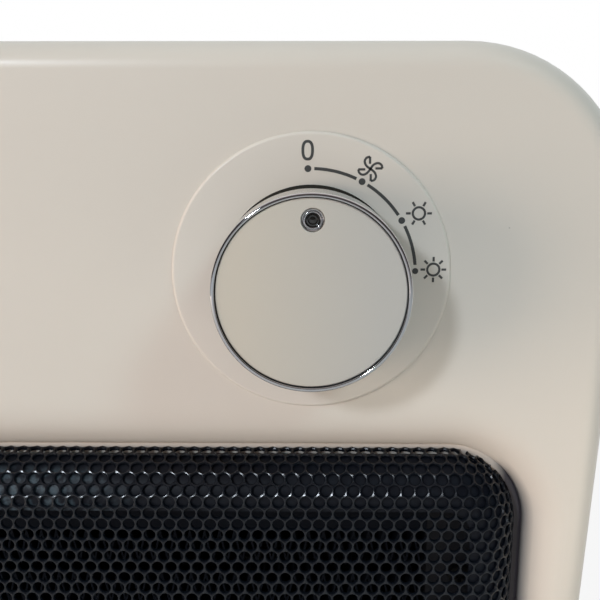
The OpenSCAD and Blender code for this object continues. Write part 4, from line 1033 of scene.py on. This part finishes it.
# Shade sheet
# A dark woven sheet held flat inside the rear housing, over the slots that the fan draws its air through.
# It is painted shade: it keeps the light from the slots out, so that the holes of the grille show dark. It lifts
# out with the rear housing open.
def woven_sheet():
    """Dark polyester weave, its threads raised in two directions."""
    m, _, place = new_material("woven_sheet")
    weave = laid_on(m, place, "ShaderNodeTexChecker", Scale=900.0)
    lint = laid_on(m, place, "ShaderNodeTexNoise", Scale=130.0, Detail=5.0)
    set_base_colour(m, mixed(m, (lint, "Fac"), (0.012, 0.012, 0.013), (0.034, 0.033, 0.031)))
    vary_gloss(m, lint, 0.75, 0.95)
    raise_surface(m, weave, 0.4)
    return m


sheet_z = -0.0545
sheet_r = 0.055
sheet_back = 0.01255
sheet_front = 0.01305
sheet_profile = [(0.00001, sheet_back), (sheet_r, sheet_back), (sheet_r, sheet_front), (0.00001, sheet_front)]
add_piece("dust_sheet", lathe(sheet_profile, 0.0, sheet_z, 96), "housing", woven_sheet())


# Inner mouldings, ceramics and wires
# Nylon, thermosets, fired ceramic, the taped coil and sleeved wires, each with its own grain.
# Their CAD shapes stay.
def wound_copper():
    """Enamelled wire wound in even turns under clear tape."""
    m, _, place = new_material("wound_copper")
    turns = laid_on(m, place, "ShaderNodeTexWave", Scale=420.0, Distortion=0.4, Detail=1.0)
    turns.bands_direction = "Z"
    set_base_colour(m, mixed(m, (turns, "Fac"), (0.22, 0.08, 0.03), (0.50, 0.22, 0.09)))
    vary_gloss(m, turns, 0.28, 0.45)
    raise_surface(m, turns, 0.5, 0.0003)
    return m


finishes.update({
    "housing_cream": moulded_plastic("housing_cream", cream, 0.48, grain=0.16, grain_scale=1500.0, mottle=0.03),
    "cover_cream": cover_cream,
    "hub_plastic": moulded_plastic("hub_nylon", (0.62, 0.60, 0.54), 0.42, grain=0.05, mottle=0.05),
    "rubber_black": moulded_plastic("black_rubber", (0.028, 0.028, 0.029), 0.72, grain=0.25, grain_scale=1200.0),
    "phenolic_black": moulded_plastic("black_phenolic", (0.035, 0.033, 0.032), 0.38, grain=0.1, mottle=0.15),
    # The end caps and the fan duct are painted near black, as painted shade inside the heater.
    "end_cap_black": moulded_plastic("end_cap_black", (0.010, 0.010, 0.013), 0.60, grain=0.2, mottle=0.1),
    "duct_grey": moulded_plastic("duct_grey", (0.016, 0.017, 0.021), 0.55, grain=0.25, grain_scale=1400.0),
    "block_white": moulded_plastic("block_white", (0.68, 0.68, 0.65), 0.45, grain=0.06),
    "stone_ceramic": moulded_plastic("dark_ceramic", (0.045, 0.042, 0.040), 0.80, grain=0.5, grain_scale=900.0,
                                     mottle=0.3),
    "cutout_ceramic": moulded_plastic("white_ceramic", (0.62, 0.59, 0.53), 0.68, grain=0.3, grain_scale=1100.0,
                                      mottle=0.08),
    "coil_copper": wound_copper(),
    "lead_brown": moulded_plastic("brown_sleeve", (0.12, 0.045, 0.02), 0.45, grain=0.05),
    "lead_white": moulded_plastic("glass_sleeve", (0.58, 0.57, 0.54), 0.65, grain=0.6, grain_scale=3000.0,
                                  mottle=0.1),
    "lead_blue": moulded_plastic("blue_sleeve", (0.03, 0.08, 0.26), 0.45, grain=0.05)})
for part in frame["record"]["subparts"]:
    if part["material_slot"] in finishes:
        for holder in nodes[part["node"]].material_slots:
            holder.material = shade_screw if part["node"] == "element_screws" else finishes[part["material_slot"]]
